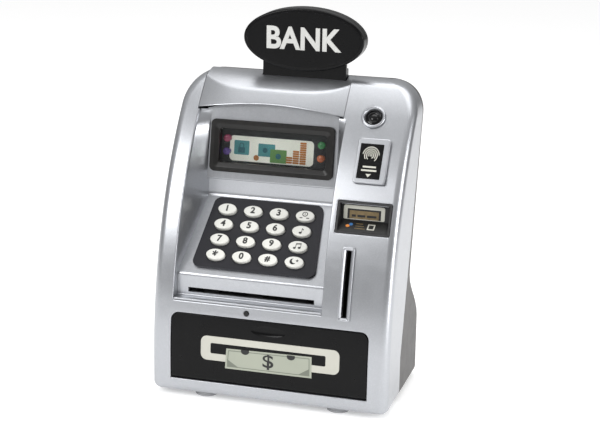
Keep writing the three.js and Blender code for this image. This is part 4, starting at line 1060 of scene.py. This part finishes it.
# Display
def makeDisplay():
    x0, mid = housing["keysX"], display["middle"]
    section = [(0.0, 0.3), (0.0, 1.1), (0.12, 1.45), (0.4, 1.7), (2.6, 1.7), (3.0, 1.6), (4.7, 0.7),
               (5.1, 0.6), (5.5, 0.3), (5.5, -4.1), (2.4, -4.1), (2.4, 0.3)]
    loops = []
    for inward, h in section:
        t = inward / 5.5
        w = display["halfW"] + (display["openW"] - display["halfW"]) * t
        v = display["halfH"] + (display["openH"] - display["halfH"]) * t
        loops.append([onPanel(x0 + a, mid + b, h) for a, b in roundedBox(w, v, 3.4 - 1.8 * t, 0, 8)])
    bezel = skin("display_frame", loops, ring=True)
    done(bezel, "housing", paint["bezelBrown"], ["display_bezel"], 30)
    pane = slab("display_pane", onPanel, roundedBox(35.2, 10.7, 1.4), (-3.4, -2.4), x0, mid)
    done(pane, "housing", paint["clearPane"], ["display_window"], 30)
    back = skin("display_backing", [
        [onPanel(x0 + a, mid + b, h) for a, b in roundedBox(38.5 - g, 13.5 - g, 1.0)]
        for g, h in ((0.2, -10.1), (0, -9.9), (0, -9.3), (0.2, -9.1))])
    done(back, "housing", paint["cardBlack"], ["display_card"], 30)
    art = [
        ("card", [shifted(roundedBox(28.0, 8.1, 2.6, 0, 6), -17.4, 20.2)], "cardCreamPaintedGlow"),
        ("tile", [shifted(roundedBox(5.1, 4.6, 0.8), -37.4, 20.8)], "cardTeal"),
        ("lock", [shifted(roundedBox(2.3, 1.8, 0.4), -37.4, 19.2)], "cardDarkTeal"),
        ("shackle", [shifted(roundedBox(*box), -37.4, 21.8) for box in ((1.6, 2.2, 1.5), (1.0, 1.6, 0.9))],
         "cardDarkTeal"),
        ("coin", [shifted(circle(1.8, 28), -27.3, 14.9)], "cardOrange"),
        ("noteBack", [shifted(roundedBox(5.6, 4.1, 0.5), -20.6, 20.2)], "cardTeal"),
        ("noteBackSpot", [shifted(circle(1.7, 24), -21.6, 20.2)], "cardDarkTeal"),
        ("noteFront", [shifted(roundedBox(5.5, 4.3, 0.5), -12.6, 16.9)], "cardGreen"),
        ("noteFrontSpot", [shifted(circle(1.8, 24), -12.6, 16.9)], "cardDarkTeal"),
    ]
    for k, (x, low, high) in enumerate(((-5.3, 12.9, 17.4), (-0.9, 12.9, 21.6), (3.7, 12.9, 27.2))):
        count = round((high - low) / 1.4)
        for n in range(count):
            v = low + (n + 0.5) * (high - low) / count
            art.append((f"stack{k + 1}_{n + 1}", [shifted(roundedBox(2.1, 0.62, 0.5), x, v)], "cardOrange"))
    for n, (name, loops, ink) in enumerate(art):
        inked("art_" + name, loops, onPanel, -9.08 + 0.03 * min(n, 9), ink, "housing")
    domes = [("led_red", -32.2, 4.3, "lampRed"), ("led_violet", -32.2, -4.2, "lampViolet"),
             ("led_green", 30.6, 4.3, "lampGreen"), ("led_amber", 30.6, -4.2, "lampAmber")]
    for name, du, dv, ink in domes:
        crown = [(2.4 * math.cos(t), -6.4 + 1.5 * math.sin(t)) for t in quarterTurn(7, 1)[:-1]]
        profile = [(2.4, -8.9), (2.4, -6.4)] + crown + [(0.02, -4.2)]
        dome = turned(name + "_dome", profile, lambda u, v, h: onPanel(x0 + du + u, mid + dv + v, h), 32)
        done(dome, "housing", paint[ink], [name], 50)


makeDisplay()
print("display made")

# Right-hand column
def makeLens():
    x0, z0 = column["lens"]
    at = tiltedAt(z0)
    ring = [(5.25, -3.2), (5.55, -3.2), (5.55, 0.25), (7.7, 0.25), (7.7, 0.9), (7.6, 1.25), (7.35, 1.52),
            (7.0, 1.68), (6.6, 1.7), (6.25, 1.6), (5.95, 1.3), (5.45, 0.35), (5.25, -0.2)]
    piece = turned("lens_ring", ring, lambda u, v, h: at(x0 + u, v, h), 72, ring=True)
    done(piece, "housing", paint["silverPaint"], ["camera_ring"], 42)
    glass = [(4.95, -3.0), (4.95, -0.75), (4.8, -0.55), (4.0, -0.45), (3.75, -0.2), (3.3, -0.05), (2.9, -0.2),
             (2.7, -0.3), (2.4, 0.05), (1.7, 0.4), (0.9, 0.56), (0.02, 0.6)]
    piece = turned("lens_glass", glass, lambda u, v, h: at(x0 + u, v, h), 64)
    done(piece, "housing", paint["lensGlass"], ["camera_lens"], 42)


def makeTouchTile():
    x0, z0, w, h0 = column["tile"]
    at = tiltedAt(z0)
    stages = [(w - 2, h0 - 2, 1.0, -4.2), (w - 2, h0 - 2, 1.0, 0.95), (w - 0.15, h0 - 0.15, 1.7, 0.95),
              (w, h0, 1.8, 1.1), (w, h0, 1.8, 1.6), (w - 0.12, h0 - 0.12, 1.7, 1.9),
              (w - 0.42, h0 - 0.42, 1.5, 2.1), (w - 0.8, h0 - 0.8, 1.3, 2.15)]
    plate = skin("touch_plate", [[at(x0 + u, v, h) for u, v in roundedBox(a, b, r)] for a, b, r, h in stages])
    done(plate, "touch_tile", paint["silverPaint"], ["touch_tile"], 32)
    lx, lv, lw, lh = column["label"]
    printed("touch_label", flatShape([roundedBox(lw, lh, 0.5)]), at, lx, lv, 2.16, paint["glossBlack"],
            "touch_tile", 0.06)
    fx, fv = lx - 0.1, 3.4
    ridges = [(0.5, -60, 240), (1.65, -70, 200), (2.8, -35, 235), (3.95, -50, 215), (5.1, 5, 172)]
    for k, (r, a0, a1) in enumerate(ridges):
        steps = 26
        angles = [math.radians(a0 + (a1 - a0) * i / steps) for i in range(steps + 1)]
        edges = [(r + 0.27, t) for t in angles] + [(r - 0.27, t) for t in reversed(angles)]
        ridge = [(fx + e * math.cos(t), fv + e * 1.08 * math.sin(t)) for e, t in edges]
        inked(f"touch_ridge{k + 1}", [ridge], at, 2.22, "printGrey", "touch_tile", 0.04)
    marks = [box2(lx - 4.2, lx + 4.2, -4.6, -3.5), box2(lx - 4.8, lx + 4.8, -6.9, -5.8),
             [(lx - 1.7, -8.6), (lx + 1.7, -8.6), (lx, -10.7)]]
    for k, loop in enumerate(marks):
        inked(f"touch_mark{k + 1}", [loop], at, 2.22, "printGrey", "touch_tile", 0.04)


def makeCardReader():
    x0, x1, z0, z1, back = 37.1, 71.1, 113.3, 131.5, 29.0
    outer = [(face(z0) + 0.5, z0), (back + 1.6, z0), (back + 1.6, z1), (face(z1) + 0.5, z1)]
    hollow = [(face(z0) - 5, z0 + 0.8), (face(z0) + 1, z0 + 0.9), (back - 1.5, z0 + 5.6),
              (back, z1 - 1.2), (-5, z1 - 1.2)]
    tub = sideways("card_tub", outer, x0, x1)
    carve(tub, sideways("hollow", hollow, x0 + 1.2, x1 - 1.2))
    done(tub, "housing", paint["satinBlack"], ["card_reader"], 30)

    def wallAt(u, v, h):
        return (u, back - 1.5 + (v - 118.9) * 1.5 / 11.4 - h, v)

    ledge = Vector((0, back - 1.5 - face(z0) - 1, 4.7)).normalized()

    def ledgeAt(u, v, h):  # v is counted from the ledge's front edge
        return (u, face(z0) + 1 + v * ledge.y - h * ledge.z, z0 + 0.9 + v * ledge.z + h * ledge.y)

    bar = slab("card_strip", wallAt, roundedBox(15.4, 0.5, 0.3), (0.02, 0.5), 52.9, 129.4)
    done(bar, "housing", paint["silverPaint"])
    guide = [(u, max(v, 119.6)) for u, v in shifted(roundedBox(13.0, 4.4, 1.2), 52.8, 123.8)]
    inked("card_guide", [guide, box2(42.2, 63.4, 119.9, 126.1)], wallAt, 0.02, "printGrey", "housing", 0.12)
    inked("card_picture", [box2(43.6, 62.0, 119.7, 125.0)], wallAt, 0.03, "cardBronze", "housing", 0.1)
    for k, (a, b) in enumerate(((45.0, 47.6), (48.6, 53.6), (54.6, 60.6))):
        inked(f"card_line{k + 1}", [box2(a, b, 121.2, 122.6)], wallAt, 0.14, "cardBlack", "housing", 0.04)
    run = (back - 1.5 - face(z0) - 1) / ledge.y
    sheet = shifted(roundedBox(14.2, (run - 1.4) / 2, 0.8), 54.0, run / 2)
    spots = [("card_sheet", [sheet], "inkBlack", 0.02),
             ("card_orange", [shifted(circle(1.2, 20), 43.8, run * 0.5)], "cardOrange", 0.09),
             ("card_blue", [shifted(circle(1.2, 20), 45.6, run * 0.64)], "cardBlue", 0.09),
             ("card_chip", [shifted(roundedBox(2.3, 2.6, 0.4), 58.6, run * 0.52)], "printGrey", 0.09),
             ("card_chip_core", [shifted(roundedBox(1.5, 1.7, 0.3), 58.6, run * 0.52)], "inkBlack", 0.13)]
    for name, loops, ink, h in spots:
        inked(name, loops, ledgeAt, h, ink, "housing")
    for k in range(3):
        low = run * (0.3 + 0.2 * k)
        inked(f"card_text{k + 1}", [box2(48.6, 55.0 - k, low, low + 0.7)], ledgeAt, 0.09, "cardBronze",
              "housing", 0.04)


def makeCoinSlot():
    x0 = column["coinX"]
    low, high = column["coinZ"]
    middle, half = (low + high) / 2, (high - low) / 2
    section = [(0, 0.28), (0, 1.0), (0.12, 1.3), (0.4, 1.48), (0.8, 1.5), (1.1, 1.44), (2.1, 0.6),
               (2.3, 0.35), (2.3, -4.2), (1.9, -4.2), (1.85, 0.28)]
    loops = []
    for inward, h in section:
        ends = inward * 0.9
        loop = roundedBox(4 - inward, half - ends, max(1.3 - 0.4 * inward, 0.25))
        fine = []
        for i, p in enumerate(loop):
            q = loop[(i + 1) % len(loop)]
            fine.append(p)
            if abs(q[1] - p[1]) > 8:
                fine += [tuple(m + (n - m) * k / 20 for m, n in zip(p, q)) for k in range(1, 20)]
        loops.append([onFace(x0 + u, middle + v, h) for u, v in fine])
    done(skin("coin_surround", loops, ring=True), "housing", paint["silverPaint"], ["coin_slot_frame"],
         38)


makeLens()
makeTouchTile()
makeCardReader()
makeCoinSlot()
print("right column made")

# Money door
door = {"half": 63.7, "low": 14.6, "high": 55.6, "corner": 5.0, "edge": 0.55,
        "slotFrame": (1.3, 35.0, 45.0, 7.9), "slot": (0.1, 35.1, 37.4, 3.4), "bill": (0.6, 28.2, 22.8, 36.4)}


def makeDoor():
    low, high, edge = door["low"], door["high"], door["edge"]
    heights = [low + (high - door["corner"] - low) * i / 26 for i in range(27)]
    heights += [high - door["corner"] + door["corner"] * math.sin(math.pi / 2 * i / 12) for i in range(1, 13)]
    rings = []
    for z in heights:
        w = door["half"] - cornerLoss(z, high, door["corner"])
        front = face(z) + 0.3 + cornerLoss(z, high + 0.02, edge)
        plan = arc(-w + edge, front + edge, edge, math.pi, 4)
        plan += arc(w - edge, front + edge, edge, 1.5 * math.pi, 4)
        plan += [(w, face(z) + 2.9), (-w, face(z) + 2.9)]
        rings.append([(x, y, z) for x, y in plan])
    panel = skin("door_panel", rings)
    fuse(panel, rod("barrel", "x", hinge["barrel"], hinge["y"], hinge["z"], -door["half"], door["half"], 40))
    catch = block("catch", -20.5, -8.5, 3.4, 10.6, 43.6, 52)
    carve(catch, block("catchRoom", -18.9, -10.1, face(50) + 2.9, 8.8, 45.2, 60))
    fuse(panel, catch)
    scoop = turned("scoop", [(max(13 * math.cos(t), 0.02), 1.5 * math.sin(t)) for t in
                             (-math.pi / 2 + math.pi * i / 20 for i in range(21))],
                   lambda u, v, h: (u, face(50) - 0.4 - h, 50 + v), 56, 4 / 13)
    carve(panel, rod("pinHole", "x", hinge["pinHole"], hinge["y"], hinge["z"], -80, 80), scoop)
    done(panel, "money_door", paint["glossBlack"], ["money_door"], 34)
    rows = [18 + 1.5 * i for i in range(20)]

    def onDoor(u, v, h):
        return onFace(u, v, h - 0.3)

    fx, fz, fw, fh = door["slotFrame"]
    sx, sz, sw, sh = door["slot"]
    frameLoops = [shifted(roundedBox(fw, fh, 4.0, 0, 8), fx, fz), shifted(roundedBox(sw, sh, 0.9), sx, sz)]
    inked("door_frame_print", frameLoops, onDoor, 0.02, "printGrey", "money_door", 0.05, rows)
    bx, bw, b0, b1 = door["bill"]
    bill = [(bx - bw, b0), (bx + bw, b0 + 0.2), (bx + bw - 0.2, b1 + 0.5), (bx - bw + 0.8, b1 - 0.4)]
    inked("bill_print", [bill], onDoor, 0.08, "printPale", "money_door", 0.04, rows)
    left, right = bx - bw, bx + bw
    border, inside = ([(left + 1.3 + g, b0 + 1.2 + g), (right - 1.3 - g, b0 + 1.3 + g),
                       (right - 1.5 - g, b1 - 0.6 - g), (left + 2.0 + g, b1 - 1.4 - g)] for g in (0, 0.5))
    inked("bill_border", [border, inside], onDoor, 0.13, "printShade", "money_door", 0.02, rows)
    for side, letter in ((-1, "A"), (1, "B")):
        end, start = bx + side * (bw - 1.4), bx + side * (bw - 9)
        corner = [(end, b0 + 1.4), (end, b0 + 6.2), (start, b0 + 1.4)]
        inked("bill_corner" + letter, [corner], onDoor, 0.13, "printShade", "money_door", 0.03, rows)
        disc = [(u, min(v, 36.3)) for u, v in shifted(circle(2.7, 32, 0.8), side * 14.9 + 0.4, 35.4)]
        inked("bill_disc" + letter, [disc], onDoor, 0.13, "inkBlack", "money_door", 0.03, rows)
    printed("bill_sign", lettering("$", 13.0, 0.16), onDoor, 0.5, 30.2, 0.13, paint["inkBlack"], "money_door",
            0.03, rows, (1.15, 0.92))


makeDoor()
print("money door made")

# Feet, battery cover, switch and screws
feet = {"foot_front_left": (-43.5, 12), "foot_front_right": (43.5, 12),
        "foot_rear_left": (-43.5, 83), "foot_rear_right": (43.5, 83)}


def makeFeet():
    profile = [(4.6, 0.35), (5.0, 0.0), (6.6, 0.0), (7.0, 0.05), (7.35, 0.3), (7.5, 0.8), (7.5, 1.4),
               (7.2, 1.6), (7.2, 2.1), (7.4, 2.4), (7.3, 3.0)]
    for name, (x, y) in feet.items():
        piece = turned(name + "_pad", profile, lambda u, v, h: (x + u, y + v, h), 48)
        done(piece, "housing", paint["footRubber"], [name], 40)


def makeBatteryCover():
    half = rearKit["cover"][0]
    ex, ez = rearKit["ear"]
    lid = sideways("battery_lid", coverOutline(0, 1.8), -half, half)
    softenEdges(lid, 0.4, 2, 50)
    ear = block("ear", 30.4, ex + 4.4, depth - 3.4, depth, ez - 6, ez + 6, 0.4)
    carve(ear, rod("a", "y", 1.5, ex, ez, 90, 110), rod("b", "y", 3, ex, ez, depth - 1.9, 110))
    fuse(lid, ear)
    grooves = [(0, rear(z) + 0.18, z) for z in (46 + 1.3 * k for k in range(-4, 4))]
    carve(lid, repeated("grooves", ribTree, grooves, paint["greyShell"], Radius=0.0005, Length=0.024))
    arrow = skin("arrow", [[(u, y, v) for u, v in ((-3, 36), (3, 36), (0, 33))]
                           for y in (rear(34) - 0.4, depth + 1)])
    carve(lid, arrow)
    done(lid, "battery_cover", paint["greyShell"], ["battery_cover"], 32)
    screw = repeated("cover_screw_head", screwTree, [(ex, depth - 0.9, ez)], paint["steel"],
                     Radius=0.0026, Length=0.0014)
    fuse(screw, rod("shank", "y", 1.2, ex, ez, depth - 9.5, depth - 1.3, 20))
    done(screw, "battery_cover", paint["steel"], ["cover_screw"], 40)
    for side, name in ((-1, "case_screw_left"), (1, "case_screw_right")):
        x, z = side * rearKit["screwX"], rearKit["screwZ"]
        screw = repeated(name + "_head", screwTree, [(x, 48, z)], paint["steel"], Radius=0.0029, Length=0.002)
        fuse(screw, rod("shank", "y", 1.1, x, z, 26, 47.2, 20))
        done(screw, "housing", paint["steel"], [name], 40)


def makeSwitch():
    x, z = rearKit["switch"]
    y = rear(z)
    slider = block("switch_slider", x - 4.2, x - 1, y - 4, y - 0.9, z - 1.7, z + 1.7, 0.15)
    fuse(slider, block("shoe", x - 8.2, x + 3, y - 4.6, y - 3, z - 3.4, z + 3.4))
    ridges = skin("r", [[(x - 3.9 + 0.35 * k, y - 1.6 + (0.75 if k % 2 else 0.15), zz) for k in range(9)] +
                        [(x - 1.1, y - 1.8, zz), (x - 3.9, y - 1.8, zz)] for zz in (z - 1.5, z + 1.5)])
    fuse(slider, ridges)
    done(slider, "power_switch", paint["satinBlack"], ["power_switch"], 30)


makeFeet()
makeBatteryCover()
makeSwitch()
print("feet and rear fittings made")

# Finishes of the pieces that stay as they are
kept = {
    "steel": ["door_hinge_pin", "latch_solenoid", "feed_motor"], "rubber": ["key_mat", "speaker"],
    "rollerRubber": ["feed_roller", "pinch_roller"], "board": ["circuit_board"],
    # The coin chute is finished near-black as painted shade, so the inside of the coin slot reads dark.
    "nylon": ["door_latch", "motor_pinion"], "cardBlack": ["coin_chute"], "lensGlass": ["status_lamp"],
    "batteryWrap": ["battery_1", "battery_2", "battery_3"],
}
for finishName, names in kept.items():
    for name in names:
        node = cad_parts[name]
        node.data.materials.clear()
        node.data.materials.append(paint[finishName])

# Stage, light and camera
stageKit = {"floor": 3.0, "floorGlow": 0.3, "key": 6.0, "band": 5.0, "top": 5.0,
            "horizon": 0.22, "zenith": 0.72, "rightSide": 0.35, "matt": 0.7}


def makeStage():
    bm = bmesh.new()
    bmesh.ops.create_grid(bm, x_segments=8, y_segments=8, size=stageKit["floor"])
    floor = newObject("studio_floor", bm)
    material = bpy.data.materials.new("paperFloor")
    material.use_nodes = True
    shader = material.node_tree.nodes["Principled BSDF"]
    shader.inputs["Base Color"].default_value = (0.93, 0.93, 0.93, 1)
    shader.inputs["Roughness"].default_value = 0.9
    shader.inputs["Emission Color"].default_value = (1, 1, 1, 1)
    shader.inputs["Emission Strength"].default_value = stageKit["floorGlow"]
    floor.data.materials.append(material)


def softbox(name, spot, aim, size, power):
    light = bpy.data.lights.new(name, "AREA")
    light.shape, light.size, light.size_y = "RECTANGLE", size[0], size[1]
    light.energy = power
    holder = bpy.data.objects.new(name, light)
    holder.location = spot
    holder.rotation_euler = (Vector(aim) - Vector(spot)).to_track_quat("-Z", "Y").to_euler()
    bpy.context.scene.collection.objects.link(holder)


def makeLight():
    world = bpy.data.worlds.new("studio")
    bpy.context.scene.world = world
    world.use_nodes = True
    tree = world.node_tree
    shade = tree.nodes["Background"]
    rays = tree.nodes.new("ShaderNodeLightPath").outputs
    direction = tree.nodes.new("ShaderNodeTexCoord").outputs["Generated"]
    parts = tree.nodes.new("ShaderNodeSeparateXYZ")
    wire(tree, direction, parts.inputs[0])
    sky = rangeNode(tree, parts.outputs[2], -0.1, 0.9, stageKit["horizon"], stageKit["zenith"])
    dim = rangeNode(tree, parts.outputs[0], 0.15, 0.95, 1.0, stageKit["rightSide"])
    gloss = mathNode(tree, "MULTIPLY", sky, dim)
    matt = rangeNode(tree, rays["Is Diffuse Ray"], 0, 1, gloss, stageKit["matt"])
    wire(tree, rangeNode(tree, rays["Is Camera Ray"], 0, 1, matt, 1.0), shade.inputs["Strength"])
    shade.inputs["Color"].default_value = (1, 1, 1, 1)
    softbox("keyLight", (-0.55, -0.85, 0.75), (0, 0, 0.12), (0.5, 0.5), stageKit["key"])
    softbox("bandLight", (0.9, -0.25, 0.35), (0, 0, 0.12), (0.25, 0.7), stageKit["band"])
    softbox("topLight", (0.0, 0.1, 1.1), (0, 0, 0.1), (0.9, 0.7), stageKit["top"])
    bpy.context.scene.view_settings.view_transform = "Standard"


cameraKit = {"azimuth": 15.99, "elevation": 15.51, "roll": 0.91, "lens": 94.624, "distance": 999.93,
             "shift": (-6.9, -5.27), "centre": (0, -2.85, 110)}


def makeCamera():
    a, e, r = (math.radians(cameraKit[k]) for k in ("azimuth", "elevation", "roll"))
    back = Vector((math.sin(a) * math.cos(e), -math.cos(a) * math.cos(e), math.sin(e)))
    right = Vector((math.cos(a), math.sin(a), 0))
    up = back.cross(right)
    across, upward = right * math.cos(r) + up * math.sin(r), up * math.cos(r) - right * math.sin(r)
    camera = bpy.data.objects.new("camera", bpy.data.cameras.new("camera"))
    camera.data.lens, camera.data.sensor_width = cameraKit["lens"], 36
    shift = cameraKit["shift"]
    spot = Vector(cameraKit["centre"]) + back * cameraKit["distance"] - across * shift[0] - upward * shift[1]
    turn = Matrix((across, upward, back)).transposed().to_4x4()
    camera.matrix_world = Matrix.Translation(spot / 1000) @ turn
    bpy.context.scene.collection.objects.link(camera)
    bpy.context.scene.camera = camera


makeStage()
makeLight()
makeCamera()
print("stage made")
